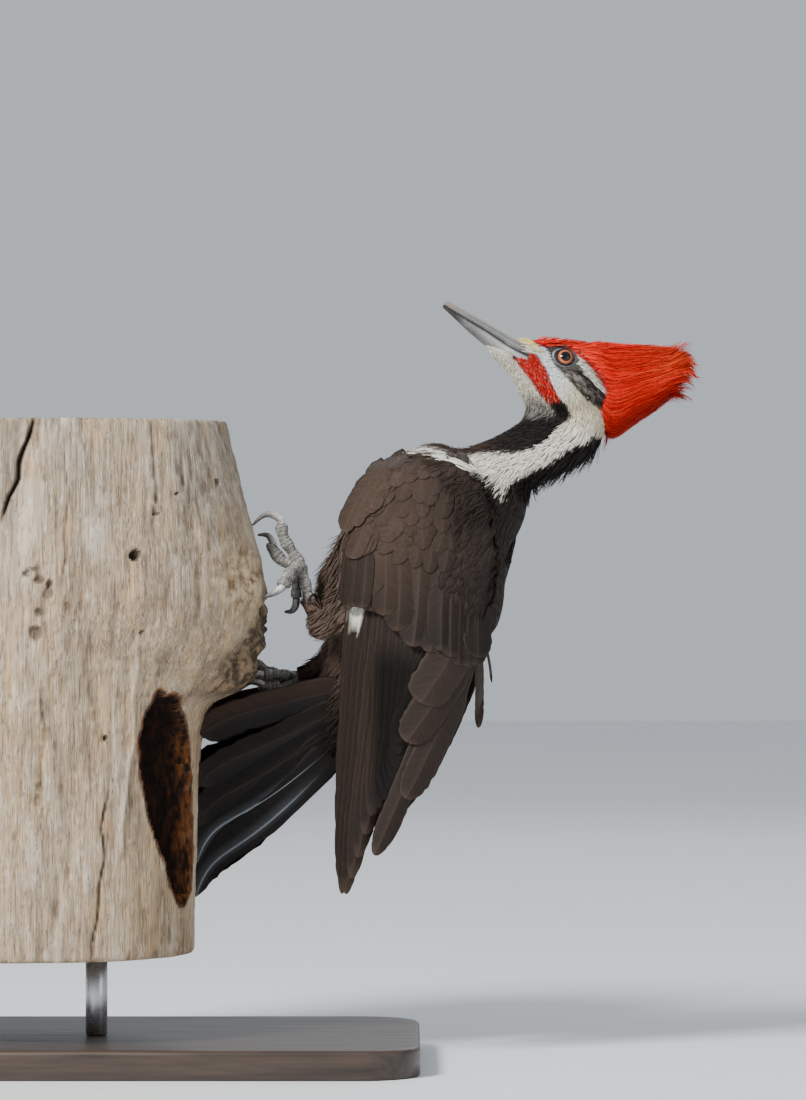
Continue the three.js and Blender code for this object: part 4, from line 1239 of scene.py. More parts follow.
class WOODPECKER_OT_coat(bpy.types.Operator):
    """Lays the small feathers of the body, neck and face over the skin"""

    bl_idname = "woodpecker.coat"
    bl_label = "Coat"

    def execute(self, context):
        plumage = context.scene.woodpecker_plumage
        coat = feather_finish("coat", 0.35, 0.7, 0.5, 0.16)
        self.lay("body", VANE, lambda p: self.smooth(p) & (p[:, 1] < 0), plumage, coat, "_left")
        self.lay("body", VANE, lambda p: self.smooth(p) & (p[:, 1] > 0), plumage, coat, "_right")
        self.lay("fluff", HAIR, self.downy, plumage, coat)
        self.lay("neck", HAIR, lambda p: (spine_flow(p)[0] > 0.76) & (head_weight(p) < 0.75), plumage, coat)
        self.lay("face", HAIR, lambda p: head_weight(p) > 0.55, plumage, coat)
        self.lay("fringe", HAIR, self.ragged, plumage, coat)
        self.lay("rim", VANE, self.beside_wing, plumage, coat)
        self.nasal(plumage, coat)
        return {"FINISHED"}

    def smooth(self, places):
        """The back, the sides and the breast below the neck, where broad feathers lie flat."""
        return (head_weight(places) < 0.3) & (spine_flow(places)[0] < 0.80)

    def beside_wing(self, places):
        """The furrow between the back and the folded wings."""
        x, y, z = places.T
        return (x > 194) & (z > 232) & (z < 304) & (np.abs(y) > 7)

    def ragged(self, places):
        """The loose edge of the nape below the head, and the loose feathers in front of the thigh."""
        share, _ = spine_flow(places)
        off = places - along(SPINE, share)[:, [0, 3, 1]] * (1, 0, 1)
        nape = (share > 0.80) & (head_weight(places) < 0.6) & (0.58 * off[:, 0] - 0.81 * off[:, 2] > 11)
        x, _, z = places.T
        return nape | ((x < 127) & (z > 262) & (z < 306))

    def nasal(self, plumage, material):
        """Bristly pale feathers that point forwards over the root of the bill."""
        surface, faces = skin_surface()
        rng = stream(plumage, "nasal")

        def inside(places):
            """The tuft over the nostrils, up to where the bill is bare."""
            local = to_head(places)
            inner = depth_inside(from_side(local), HEAD_MARKS["nasal"]) > 0.2
            return inner & (local[:, 0] > 14) & (local[:, 0] < bill_base(local[:, 2]) - 0.8)

        def forwards(places):
            """Towards the bill's tip and a little down."""
            return np.broadcast_to(unit(HEAD_AXES[0] - 0.12 * HEAD_AXES[2]), places.shape)

        roots = spread_roots(surface, faces, NASAL["cell"], inside, rng)
        size = rng.uniform(0.6, 1.25, len(roots))
        rings, barbs = lay_tufts(surface, roots, size, NASAL, HAIR, rng, 0.16, forwards, 0.5)
        yellow = ramp(-4, 1, to_head(roots)[:, 2:])
        colours = mix(srgb(232, 226, 206), srgb(242, 212, 105), yellow * rng.uniform(0.5, 1.0, yellow.shape))
        colours = colours * rng.choice([0.45, 0.8, 1.0, 1.1], yellow.shape, p=[0.08, 0.2, 0.52, 0.2])
        mesh = tuft_mesh("nasal_bristles", rings, barbs, colours, skin_chart(roots))
        add_piece("nasal_bristles", mesh, material, "head_plumage")

    def downy(self, places):
        """The belly, the flanks and the thighs, where the coat is loose."""
        share, _ = spine_flow(places)
        aside = places[:, 0] - along(SPINE, share)[:, 0]
        return (head_weight(places) < 0.3) & (share < 0.86) & (aside < 6)

    def lay(self, kind, section, region, plumage, material, part=""):
        """One layer of tufts over a region of the skin, each coloured by the marking at its middle."""
        surface, faces = skin_surface()
        sizes = COAT[kind]
        rng = np.random.default_rng([plumage.seed, sorted(COAT).index(kind), len(part)])
        roots = spread_roots(surface, faces, sizes["cell"], lambda p: region(p) & keep_clear(p), rng)
        count = len(roots)
        size = rng.uniform(0.75, 1.25, count)
        if kind == "face":
            size = size * mix(0.75, 1.9, ramp(16, -24, to_head(roots)[:, 0]))
        low, high = sizes["lift"]
        if kind == "fluff":
            high = high * mix(1.0, 0.3, ramp(318, 330, roots[:, 2]))[:, None, None]
        wander = 0.22 if section is HAIR else 0.05
        stray = {"fluff": 0.5, "fringe": 1.0}.get(kind, 0.0)
        lifted = dict(sizes, lift=(low, high))
        rings, barbs = lay_tufts(surface, roots, size, lifted, section, rng, wander, stray=stray)
        middle = rings[:, sizes["rings"] // 2].mean(1)
        low, high = (0.84, 1.14) if kind == "face" else (0.8, 1.2)
        colours = markings(middle, plumage) * rng.uniform(low, high, (count, 1))
        if kind == "face":
            red = ramp(0.25, 0.6, colours[:, :1]) * ramp(0.2, 0.05, colours[:, 1:2])
            pink = np.array(plumage.white) * (0.95, 0.55, 0.5)
            colours = mix(colours, pink, red * 0.75 * rng.random((count, 1)) ** 5)
            colours = colours * mix(1.0, rng.uniform(0.35, 1.05, (count, 1)), red)
        mesh = tuft_mesh(f"coat_{kind}{part}", rings, barbs, colours, skin_chart(roots))
        add_piece(f"coat_{kind}{part}", mesh, material, "head_plumage" if kind == "face" else "plumage")


# ------------------------------------------------------------------ wings

# Rows of feathers of the left wing from the side: roots and tips as smooth lines of x and z, from the front.
WING_ROWS = {
    "primaries": {"count": 9, "roots": [(125.5, 276), (153, 259)], "width": (13, 17),
                  "tips": [(119.4, 144), (118.8, 101.2), (123.8, 93), (131, 113), (139, 136)],
                  "lift": (-5.6, -3.7), "bend": 2.0, "blunt": 0.75},
    "secondaries": {"count": 8, "roots": [(146, 254), (176, 234)], "width": (19, 23),
                    "tips": [(141, 137), (149, 146), (153, 160), (154, 176)],
                    "lift": (-3.3, -1.6), "bend": 3.0, "blunt": 0.82},
    "tertials": {"count": 4, "roots": [(184, 222), (192, 222), (192, 231), (190, 240)], "width": (14, 26),
                 "tips": [(140.5, 114.5), (157.5, 145.5), (157.5, 177), (165, 198.5)],
                 "lift": (-1.1, 0.7), "bend": 1.0, "blunt": 0.8},
    "primary_coverts": {"count": 4, "roots": [(126, 290), (137, 288)], "width": (8, 9.5),
                        "tips": [(124.6, 252), (128.6, 249.2), (133.6, 251.5)],
                        "lift": (0.2, 0.9), "bend": 0.6, "blunt": 0.88},
    "greater_coverts": {"count": 6, "roots": [(141, 306), (150, 304), (169, 300), (188, 286)],
                        "tips": [(135.3, 254.5), (145.8, 243.5), (158.4, 234.6), (168, 226.5), (179, 220.5)],
                        "width": (20, 26),
                        "lift": (0.1, 0.5), "bend": 1.5, "blunt": 0.7},
    "scapulars": {"count": 6, "roots": [(180, 284), (188, 280), (195, 272), (199, 262)], "width": (16, 16),
                  "tips": [(177, 226), (185, 221), (191.5, 217), (195.5, 223)],
                  "lift": (1.2, 1.5), "bend": -1.5, "blunt": 0.76},
    "alula": {"count": 3, "roots": [(143, 312), (138, 309)], "width": (11, 12),
              "tips": [(134.6, 278.8), (127.6, 278)],
              "lift": (0.5, 0.9), "bend": 1.5, "blunt": 0.84},
    "marginals": {"count": 5, "roots": [(158, 325), (151, 331)], "width": (12, 11),
                  "tips": [(139, 304), (134.5, 299.5), (125.2, 291.5)],
                  "lift": (0.9, 1.5), "bend": -3.5, "blunt": 0.84},
}
# Two narrow feathers that hang loose behind the tertials.
STRAYS = {"roots": [(197.5, 236), (201, 234)], "tips": [(199.3, 184), (206.5, 209)],
          "width": [5.5, 1.5], "lift": (-2.2, -2.2)}
COVERT_FAN = (183, 366)  # the lesser coverts lie along lines from this place
COVERT_BANDS = [
    # distance of the tips from the fan's place, length, width, spacing
    (34, 11, 8, 6.4), (40, 12, 8, 6.6), (46, 13, 8.5, 7), (52.5, 14, 9, 7.4), (59, 15, 9.5, 7.8),
    (66, 16, 10, 8), (73, 17, 10.5, 8.4), (80, 18, 11, 8.8), (88, 21, 11.5, 9), (97, 25, 12, 9.2),
]
BLADE = (-1.0, -0.82, -0.42, -0.07, 0.0, 0.07, 0.42, 0.82, 1.0)
SMALL_BLADE = (-1.0, -0.55, 0.0, 0.55, 1.0)
# Thickness of a vane, camber across it and height of its shaft's ridge, in mm.
SECTIONS = {"flight": (0.5, 0.3, 0.16), "covert": (0.3, 0.22, 0.12), "tail": (0.6, 1.1, 0.65)}
NICK = 0.12  # share of the half width that the deepest nick takes off a vane's edge


FRINGE = {"count": 46, "line": [(197, 324), (189, 328.4), (178, 332.6), (168, 335)]}


def vane_outline(share, blunt):
    """Half width of a vane along it: widening from the root, closed as a quarter ellipse past blunt."""
    close = np.maximum(0, share - blunt) / (1.0008 - blunt)
    return np.minimum(1, 0.5 + 1.6 * share) * np.sqrt(np.maximum(0.002, 1 - close**2))


def blade_section(columns, thick, camber, ridge):
    """A closed section of a vane: its top -camber u^2 with a ridge at the shaft, then its underside."""
    across = np.array(columns)
    top = -camber * across**2 + ridge * bell(across, 0, 0.05)
    under = -camber * across**2 - thick
    inner = slice(1, -1)
    return np.concatenate([across, across[inner][::-1]]), np.concatenate([top, under[inner][::-1]])


def blade_shares(rings):
    """Stations along a vane, closer together towards the tip."""
    return 1 - (1 - np.linspace(0, 1, rings)) ** 1.6


def lay_blades(roots, tips, widths, lifts, bend, blunt, side, rings, columns, section, rng, shell=0.0):
    """Vanes on the draped wing: centre = root + way s + aside 4 bend s (1 - s), wide as vane_outline."""
    share = blade_shares(rings)[None, :, None]
    way = tips - roots
    length = np.linalg.norm(way, axis=1)
    aside = np.stack([-way[:, 1], way[:, 0]], -1) / length[:, None]
    across, height = blade_section(columns, *section)
    edge = (np.abs(across) > 0.95)[None, None]
    ragged = 1 - edge * NICK * rng.random((len(roots), rings, 1)) ** 3
    half = np.asarray(widths)[:, None, None] / 2 * vane_outline(share, blunt) * ragged
    shift = 4 * bend * share * (1 - share) + across * half
    plane = roots[:, None, None] + way[:, None, None] * share[..., None]
    plane = plane + aside[:, None, None] * shift[..., None]
    x, z = plane[..., 0], plane[..., 1]
    lift = mix(lifts[:, 0, None, None], lifts[:, 1, None, None], share) + height * mix(1.0, 0.6, share)
    lift = lift + shell * covert_dome(x, z)
    points = drape(x, z, lift, side)
    reach = np.broadcast_to(share * length[:, None, None], x.shape)
    barbs = np.stack([across * half + 0 * reach, reach], -1)
    return points, barbs, np.broadcast_to(across, x.shape), np.broadcast_to(share, x.shape), plane


def wing_row(row):
    """Roots, tips, widths and lifts of one row, spread evenly along its lines."""
    share = np.linspace(0, 1, row["count"])
    lift = mix(*row["lift"], share)
    return along(row["roots"], share), along(row["tips"], share), mix(*row["width"], share), lift


def feather_tint(across, share, base, edge, rng, edging, tipping=0.4):
    """Each vane's own shade of the base colour, with a thin paler edge and tip and a glossy shaft."""
    count = len(across)
    tone = rng.uniform(0.86, 1.16, (count, 1, 1, 1))
    pale = edging * ramp(0.8, 1.0, np.abs(across)) + tipping * ramp(0.93, 1.0, share)
    colour = mix(base * tone, np.array(edge), np.clip(pale, 0, 1)[..., None])
    shaft = bell(across, 0, 0.06) * (share < 0.97)
    colour = mix(colour, np.array(edge) * 0.8, 0.5 * shaft[..., None])
    return colour, 0.25 + 0.6 * shaft


def blade_mesh(name, points, barbs, colours, gloss, charts=None):
    """Blades as one mesh: large ones get a strip of the bake map each, small ones a patch at their chart."""
    mesh = loft_mesh(name, points)
    set_tint(mesh, colours.reshape(-1, 3), gloss.reshape(-1))
    set_map(mesh, "Barbs", barbs.reshape(-1, 2) / 100)
    count = len(points)
    span = np.abs(barbs).reshape(count, -1, 2).max(1)[:, None, None]
    local = barbs / span * np.array([0.46, 0.96]) + np.array([0.5, 0.02])
    if charts is None:
        column = np.arange(count)[:, None, None]
        places = np.stack([(column + local[..., 0]) / count, local[..., 1]], -1)
    else:
        places = charts[:, None, None] + (local - 0.5) * BLADE_PATCH
    set_map(mesh, "OFBake", places.reshape(-1, 2))
    return mesh


def wing_chart(plane):
    """The draped surface laid flat: its angle round the envelope across, and its height up."""
    _, centre, depth, _ = np.moveaxis(lookup(ENVELOPE, plane[:, 1]), -1, 0)
    turn = np.arcsin(np.clip((plane[:, 0] - centre) / depth, -WRAP, WRAP))
    return np.stack([0.5 + turn / 3.3, (plane[:, 1] - 80) / 275], -1)


def covert_grid(rng):
    """Roots, tips and widths of the lesser and median coverts: jittered arcs about the fan's place."""
    roots, tips, widths = [], [], []
    fan = np.array(COVERT_FAN, float)
    for band, (reach, length, width, spacing) in enumerate(COVERT_BANDS):
        angle = np.arange(-2.7, -1.2, spacing / reach) + (band % 2) * 0.5 * spacing / reach
        angle = angle + rng.normal(0, 0.16 * spacing / reach, len(angle))
        far = reach + rng.normal(0, 2.2, len(angle))
        tip = fan + np.stack([np.cos(angle), np.sin(angle)], -1) * far[:, None]
        heading = angle + rng.normal(0, 0.17, len(angle))
        heading = mix(heading, -np.pi / 2, 0.35 * ramp(155, 190, tip[:, 0]))
        way = np.stack([np.cos(heading), np.sin(heading)], -1)
        size = length * rng.uniform(0.9, 1.15, (len(angle), 1))
        size = np.minimum(size, (336 - tip[:, 1:]) / np.maximum(-way[:, 1:], 0.2))
        inside = (depth_inside(tip, COVERT_AREA) > -1.0) & (tip[:, 1] < 331)
        roots.append((tip - way * size)[inside])
        tips.append(tip[inside])
        widths.append((width * rng.uniform(0.85, 1.15, len(angle)))[inside])
    return np.concatenate(roots), np.concatenate(tips), np.concatenate(widths)


class WOODPECKER_OT_wings(bpy.types.Operator):
    """Lays the flight feathers and the coverts of both folded wings"""

    bl_idname = "woodpecker.wings"
    bl_label = "Wings"

    def execute(self, context):
        plumage = context.scene.woodpecker_plumage
        flight = feather_finish("flight_vanes", 0.3, 0.6, 0.34, 0.13, 0.0003)
        coverts = feather_finish("covert_vanes", 0.32, 0.62, 0.4, 0.12, 0.0003)
        for name, leg in LEGS.items():
            self.flight(name, leg["side"], plumage, flight)
            self.coverts(name, leg["side"], plumage, coverts)
        return {"FINISHED"}

    def flight(self, name, side, plumage, material):
        """The long feathers of one wing; the near wing's tertials include the strays under the breast."""
        rng = stream(plumage, "flight")
        black, brown = np.array(plumage.black), np.array(plumage.brown)
        for part in ("primaries", "secondaries", "tertials"):
            row, inner = WING_ROWS[part], part == "tertials"
            roots, tips, widths, lift = wing_row(row)
            if inner and side < 0:
                roots, tips = np.vstack([roots, STRAYS["roots"]]), np.vstack([tips, STRAYS["tips"]])
                widths, lift = np.append(widths, STRAYS["width"]), np.append(lift, STRAYS["lift"])
            if side > 0:
                tips = tips - (tips - roots) * FAR_WING["shorter"] + (FAR_WING["tips"], 0)
            lifts = np.stack([lift, lift + 0.25], -1)
            points, barbs, across, share, plane = lay_blades(
                roots, tips, widths, lifts, row["bend"], row["blunt"], side, 30, BLADE,
                SECTIONS["flight"], rng,
            )
            base = mix(black * 0.8, brown, 0.6 if inner else 0.25)
            # Painted reflection: the tertials are tinted bluish, as if they mirrored the sky.
            base = base * ((1, 1.03, 1.08) if inner else 1.0)
            # Painted shade: the folded inner primaries and secondaries are darkened and lose their gloss
            # where they lie in shadow.
            shade = ramp(133, 144, plane[..., :1]) * ramp(238, 216, plane[..., 1:]) * (not inner)
            colours, gloss = feather_tint(across, share, base, brown * 2.2, rng, 0.3 if inner else 0.6)
            colours = colours * mix(1.0, 0.16, shade)
            gloss = gloss * (1 - shade[..., 0])
            if part == "primaries":
                patch = depth_inside(plane.reshape(-1, 2), WHITE_PATCH).reshape(across.shape)
                colours = mix(colours, np.array(plumage.white), ramp(-0.5, 0.3, patch)[..., None])
            mesh = blade_mesh(f"{part}_{name}", points, barbs, colours, gloss)
            nodes = () if inner else (f"wing_{name}_{part}",)
            add_piece(f"{part}_{name}", mesh, material, "flight_feathers", *nodes)

    def coverts(self, name, side, plumage, material):
        """The small feathers of one wing's shoulder, and the white fringe along its front edge."""
        rng = stream(plumage, "coverts")
        black, brown = np.array(plumage.black), np.array(plumage.brown)
        rows = {}
        for part in ("primary_coverts", "greater_coverts", "scapulars", "alula", "marginals"):
            row = WING_ROWS[part]
            roots, tips, widths, lift = wing_row(row)
            tips = tips + rng.normal(0, 1.4 if part == "greater_coverts" else 0.5, tips.shape)
            low = lift - (2.2 if part == "scapulars" else 1.2)
            lifts = np.stack([low, lift + 0.35], -1)
            rows[part] = (roots, tips, widths, lifts, row["bend"], row["blunt"], 16, BLADE)
        roots, tips, widths = covert_grid(rng)
        low = rng.uniform(-0.5, -0.2, len(roots))
        low = low + 0.5 * ramp(100, 40, np.linalg.norm(tips - COVERT_FAN, axis=1))
        lifts = np.stack([low, low + 0.75], -1)
        rows["lesser_coverts"] = (roots, tips, widths, lifts, 0.5, 0.54, 10, BLADE)
        count = FRINGE["count"]
        roots = along(FRINGE["line"], rng.random(count)) + rng.normal(0, 0.6, (count, 2))
        rise = mix(4.0, 0.9, ramp(195, 168, roots[:, 0]))
        tips = roots + np.stack([rng.uniform(-11, -6, count), rise], -1)
        lift = rng.uniform(0.6, 1.6, count)
        lifts = np.stack([lift - 0.8, lift + 1.0], -1)
        rows["shoulder_fringe"] = (roots, tips, rng.uniform(0.8, 1.5, count), lifts, 0.3, 0.3, 8, SMALL_BLADE)
        for part, (roots, tips, widths, lifts, bend, blunt, rings, columns) in rows.items():
            if part == "scapulars" and side > 0:
                roots, tips = roots + (FAR_WING["scapulars"], 0), tips + (FAR_WING["scapulars"], 0)
            points, barbs, across, share, plane = lay_blades(
                roots, tips, widths, lifts, bend, blunt, side, rings, columns, SECTIONS["covert"], rng,
                shell=SHELL,
            )
            # Painted sunlight: coverts towards the front and top of the wing are mixed from black towards
            # brown, less on the primary coverts.
            painted_sun = ramp(208, 150, plane[..., 0]) * ramp(212, 300, plane[..., 1])
            painted_sun = painted_sun * (0.35 if part == "primary_coverts" else 1.0)
            base = mix(black, brown, (0.12 + 0.88 * painted_sun)[..., None])
            pale = (0.14, 0.2) if part == "lesser_coverts" else (0.4, 0.45)
            colours, gloss = feather_tint(across, share, base, brown * 1.9, rng, *pale)
            if part == "shoulder_fringe":
                pale = np.array(plumage.white) * rng.uniform(0.8, 1.1, (count, 1, 1, 1))
                colours = np.broadcast_to(pale, colours.shape)
            mesh = blade_mesh(f"{part}_{name}", points, barbs, colours, gloss, wing_chart(roots))
            add_piece(f"{part}_{name}", mesh, material, "plumage")


# ------------------------------------------------------------------ tail


def tail_blades(side, rng):
    """Five stiff feathers of one side: quadratic curves from the root to the trunk, tented outwards."""
    tips = np.array([rect["tip"] for rect in RECTRICES], float)
    tips[:, 1] *= side
    tips[:, 0] = log_face(tips[:, 1], tips[:, 2]) + 0.6
    count = len(RECTRICES)
    order = np.arange(count)
    aside = side * (TAIL_ROOT["y"] + TAIL_ROOT["apart"] * order)
    root = np.stack([np.full(count, TAIL_ROOT["x"]), aside, np.full(count, TAIL_ROOT["z"])], -1)
    bow = mix(tips, root, 0.35)
    bow[:, 2] += [rect["bow"] for rect in RECTRICES]
    share = blade_shares(30)[None, :, None]
    path = (1 - share) ** 2 * root[:, None] + 2 * share * (1 - share) * bow[:, None]
    path = path + share**2 * tips[:, None]
    hook = np.array([rect["hook"] for rect in RECTRICES])[:, None]
    path[..., 2] += hook * (share[..., 0] ** 3 - share[..., 0] ** 12)
    way = unit(np.gradient(path, axis=1))
    inwards = tips[np.maximum(order - 1, 0)] - tips[np.minimum(order + 1, count - 1)]
    inwards = np.broadcast_to(inwards[:, None], path.shape)
    across_way = unit(inwards - (inwards * way).sum(-1, keepdims=True) * way)
    out = np.cross(way, across_way)
    out = out * np.where(out[..., 1:2] * side < 0, -1, 1)
    across, height = blade_section(BLADE, *SECTIONS["tail"])
    edge = (np.abs(across) > 0.95)[None, None]
    ragged = 1 - edge * 0.18 * rng.random((count, 30, 1)) ** 2
    outer = np.array([rect["outer"] for rect in RECTRICES], float)[:, None, None]
    inner = np.array([rect["inner"] for rect in RECTRICES], float)[:, None, None]
    point = vane_outline(share, 0.93) * (1 - 0.12 * share**2) * ragged
    wide = np.where(across < 0, (outer + 0.5) * across, (inner + 3.0 * share) * across) * point
    up = height * mix(1.0, 0.7, share) - TAIL_STEP * order[:, None, None]
    points = path[:, :, None] + across_way[:, :, None] * wide[..., None] + out[:, :, None] * up[..., None]
    points[..., 1] = side * np.maximum(side * points[..., 1], 0.15)
    length = np.linalg.norm(tips - root, axis=1)[:, None, None]
    barbs = np.stack([wide, np.broadcast_to(share * length, wide.shape)], -1)
    return points, barbs, np.broadcast_to(across, wide.shape), np.broadcast_to(share, wide.shape)


class WOODPECKER_OT_tail(bpy.types.Operator):
    """Builds the ten stiff tail feathers braced on the trunk"""

    bl_idname = "woodpecker.tail"
    bl_label = "Tail"

    def execute(self, context):
        plumage = context.scene.woodpecker_plumage
        material = feather_finish("tail_vanes", 0.28, 0.55, 0.22, 0.22, 0.0003)
        for name, leg in LEGS.items():
            rng = stream(plumage, "tail")
            points, barbs, across, share = tail_blades(leg["side"], rng)
            order = np.arange(len(RECTRICES))[:, None, None, None]
            # Painted sunlight: the outer vanes of the two outer feathers are warmed to brown, as if light
            # shone through them.
            warm = ramp(2.5, 4.5, order) * ramp(0.2, -0.4, across[..., None]) * 0.7
            base = mix(np.array(plumage.black) * 0.55, np.array(plumage.brown) * (1, 0.8, 0.7), warm)
            colours, gloss = feather_tint(across, share, base, np.array(plumage.brown) * 1.3, rng, 0.3, 0.25)
            # Painted highlight: a bluish-grey glint along the shafts of the two inner feathers of each side.
            painted_glint = bell(across, 0, 0.05) * ramp(0.3, 0.5, share) * (order[..., 0] < 2)
            colours = mix(colours, np.array([0.26, 0.29, 0.33]), painted_glint[..., None])
            mesh = blade_mesh(f"tail_feathers_{name}", points, barbs, colours, gloss)
            add_piece(f"tail_feathers_{name}", mesh, material, "flight_feathers", f"tail_{name}")
        return {"FINISHED"}


# ------------------------------------------------------------------ crest

CREST_LOCKS = {
    "crest_locks": {
        "count": 3500, "width": 1.15, "thick": 0.45, "bundles": 110, "draw": 0.72, "inside": 0.5, "loose": 0,
    },
    "crest_wisps": {
        "count": 2600, "width": 0.5, "thick": 0.3, "bundles": 260, "draw": 0.45, "inside": 0.04, "loose": 4.2,
    },
}
# How far along the crest its locks reach at each height of its section.
CREST_ENDS = [(-1, 0.8), (-0.75, 0.83), (-0.5, 0.88), (-0.2, 0.94), (0.1, 1.02), (0.4, 1.04),
              (0.7, 0.9), (1, 0.8)]
# Side outline of the nape under the crest.
NAPE_AREA = [(266, 366), (268, 351), (273, 344), (279, 347), (278, 362)]
# As in COAT; swell is the power of a lock's size that its thickness follows.
CROWN_LOCKS = {"cell": 1.25, "length": 15, "width": 1.1, "thick": 0.4, "lift": (0.2, 3.0), "rings": 6}
NAPE_LOCKS = {
    "cell": 1.5, "length": 13, "width": 1.1, "thick": 0.4, "lift": (0.3, 4.5), "rings": 6, "swell": 1,
}


class WOODPECKER_OT_crest(bpy.types.Operator):
    """Sweeps the long red feathers of the crown back into the crest"""

    bl_idname = "woodpecker.crest"
    bl_label = "Crest"

    def execute(self, context):
        plumage = context.scene.woodpecker_plumage
        material = feather_finish("crest_silk", 0.3, 0.5, 0.3, 0.14)
        self.crown(plumage, material)
        for name, sizes in CREST_LOCKS.items():
            self.locks(name, sizes, plumage, material)
        return {"FINISHED"}

    def locks(self, name, sizes, plumage, material):
        """Long narrow feathers along the crest; the loose ones stand away from it towards their tips."""
        rng = stream(plumage, name)
        count, rings = sizes["count"], 9
        angle = rng.uniform(0, 2 * np.pi, count)
        out = 1 - sizes["inside"] * rng.random(count) ** 1.5
        path, share, begin = self.paths(angle, out, rings, rng, sizes)
        centre = along(CREST, np.clip(mix(begin[:, None], 0.9, share), 0, 1))[..., :3]
        outwards = unit(path - centre + np.array([0.0, 0.0, 1e-3]))
        path = path + outwards * (sizes["loose"] * rng.random((count, 1)) ** 2 * share**2)[..., None]
        way = unit(np.gradient(path, axis=1))
        side = unit(np.cross(way, outwards))
        up = np.cross(side, way)
        outline = np.sqrt(np.clip(np.sin(np.pi * mix(0.12, 0.99, share**0.8)), 0.004, 1))
        size = rng.uniform(0.55, 1.35, (count, 1))
        half = (sizes["width"] / 2 * size * outline)[:, :, None]
        deep = (sizes["thick"] / 2 * outline)[:, :, None]
        length = np.linalg.norm(path[:, -1] - path[:, 0], axis=-1)[:, None, None]
        points, barbs = sweep(path, side, up, HAIR, half, deep, share[..., None], length)
        colours = self.colours(path, angle, out, plumage, rng)
        charts = np.stack([angle / (2.02 * np.pi), 0.01 + 0.95 * begin], -1)
        mesh = tuft_mesh(name, points, barbs, np.repeat(colours[:, :, None], 3, 2), charts)
        add_piece(name, mesh, material, "crest")

    def paths(self, angle, out, rings, rng, sizes):
        """Each lock keeps its place in the crest's section, and draws in to a bundle towards its tip."""
        count = len(angle)
        bundles = sizes["bundles"]
        gather = rng.uniform(0, 2 * np.pi, bundles)
        gather_out = 1 - 0.3 * rng.random(bundles) ** 1.3
        place = np.stack([np.cos(angle), np.sin(angle)], -1) * out[:, None]
        goal = np.stack([np.cos(gather), np.sin(gather)], -1) * gather_out[:, None]
        nearest = ((place[:, None] - goal[None]) ** 2).sum(-1).argmin(1)
        level = place[:, 1]
        longest = np.interp(level, *np.array(CREST_ENDS).T) + rng.normal(0, 0.075, bundles)[nearest]
        begin = rng.uniform(0.0, 0.6, count) ** 1.15
        end = np.minimum(begin + rng.uniform(0.25, 0.6, count), longest - 0.16 * rng.random(count) ** 2)
        share = np.linspace(0, 1, rings)[None]
        t = mix(begin[:, None], end[:, None], share)
        draw = (sizes["draw"] * ramp(0.62, 1.05, t) + 0.06 * share)[..., None]
        section = place[:, None] * (1 - draw) + goal[nearest][:, None] * draw
        x, y, z, tall, wide = np.moveaxis(along(CREST, np.clip(t, 0, 1)), -1, 0)
        tall, wide = np.maximum(tall, 12.0), np.maximum(wide, 3.6)
        over = np.maximum(t - 1, 0)
        fan = 1.06
        droop = 5.5 * ramp(0.72, 0.9, t) * ramp(-0.4, -0.9, level)[:, None]
        wave = 0.6 * np.sin(share * rng.uniform(3, 7, (count, 1)) + rng.uniform(0, 6.3, (count, 1))) * share
        y = y + 16 * over + wide * fan * section[..., 0] * mix(0.9, 1.0, share) + 0.5 * wave
        z = z + 4 * over - droop - 7 * ramp(0.85, 1.04, t)
        z = z + tall * fan * section[..., 1] * mix(0.96, 1.0, share) + wave
        return np.stack([x + 42 * over, y, z], -1), share, begin

    def crown(self, plumage, material):
        """Locks rooted in the skin of the crown and nape, which lift as they run into the crest."""
        surface, faces = skin_surface()
        rng = stream(plumage, "crown")

        def red(places):
            """The red crown."""
            local = to_head(places)
            inside = depth_inside(from_side(local), HEAD_MARKS["crown"]) > 0.8
            return inside & (head_weight(places) > 0.5) & (local[:, 0] < 27) & keep_clear(places)

        roots = spread_roots(surface, faces, CROWN_LOCKS["cell"], red, rng)
        back = ramp(24, -8, to_head(roots)[:, 0])
        size = rng.uniform(0.7, 1.25, len(roots)) * mix(0.4, 1.0, back)
        rings, barbs = lay_tufts(surface, roots, size, CROWN_LOCKS, HAIR, rng, 0.1)
        colours = markings(rings[:, 2].mean(1), plumage)
        glow = np.clip(rng.normal(0.15, 0.22, (len(roots), 1)), 0, 1)
        colours = mix(colours, np.array(plumage.ember), glow * (colours[:, :1] > 0.5))
        colours = colours * rng.uniform(0.75, 1.15, glow.shape)
        mesh = tuft_mesh("crown_locks", rings, barbs, colours, skin_chart(roots))
        add_piece("crown_locks", mesh, material, "crest")

        def nape(places):
            """The strip of the nape that the crest overhangs."""
            return depth_inside(from_side(places), NAPE_AREA) > 0

        roots = spread_roots(surface, faces, NAPE_LOCKS["cell"], nape, rng)
        size = rng.uniform(0.6, 1.3, len(roots))

        def down(places):
            """Straight down and a little back."""
            return np.broadcast_to(unit(np.array([0.15, 0, -1.0])), places.shape)

        rings, barbs = lay_tufts(surface, roots, size, NAPE_LOCKS, HAIR, rng, 0.2, down, 0.4)
        colours = np.array(plumage.scarlet) * rng.uniform(0.08, 0.42, (len(roots), 1))
        mesh = tuft_mesh("nape_locks", rings, barbs, colours, skin_chart(roots))
        add_piece("nape_locks", mesh, material, "crest")

    def colours(self, path, angle, out, plumage, rng):
        """Scarlet that lightens to ember in some locks, with painted highlights in ember on the upper side
        near the tips, and painted shade on the inner locks and underneath.
        """
        count = len(path)
        scarlet, ember = np.array(plumage.scarlet), np.array(plumage.ember)
        light = np.clip(rng.normal(0.10, 0.30, (count, 1)), 0, 1)
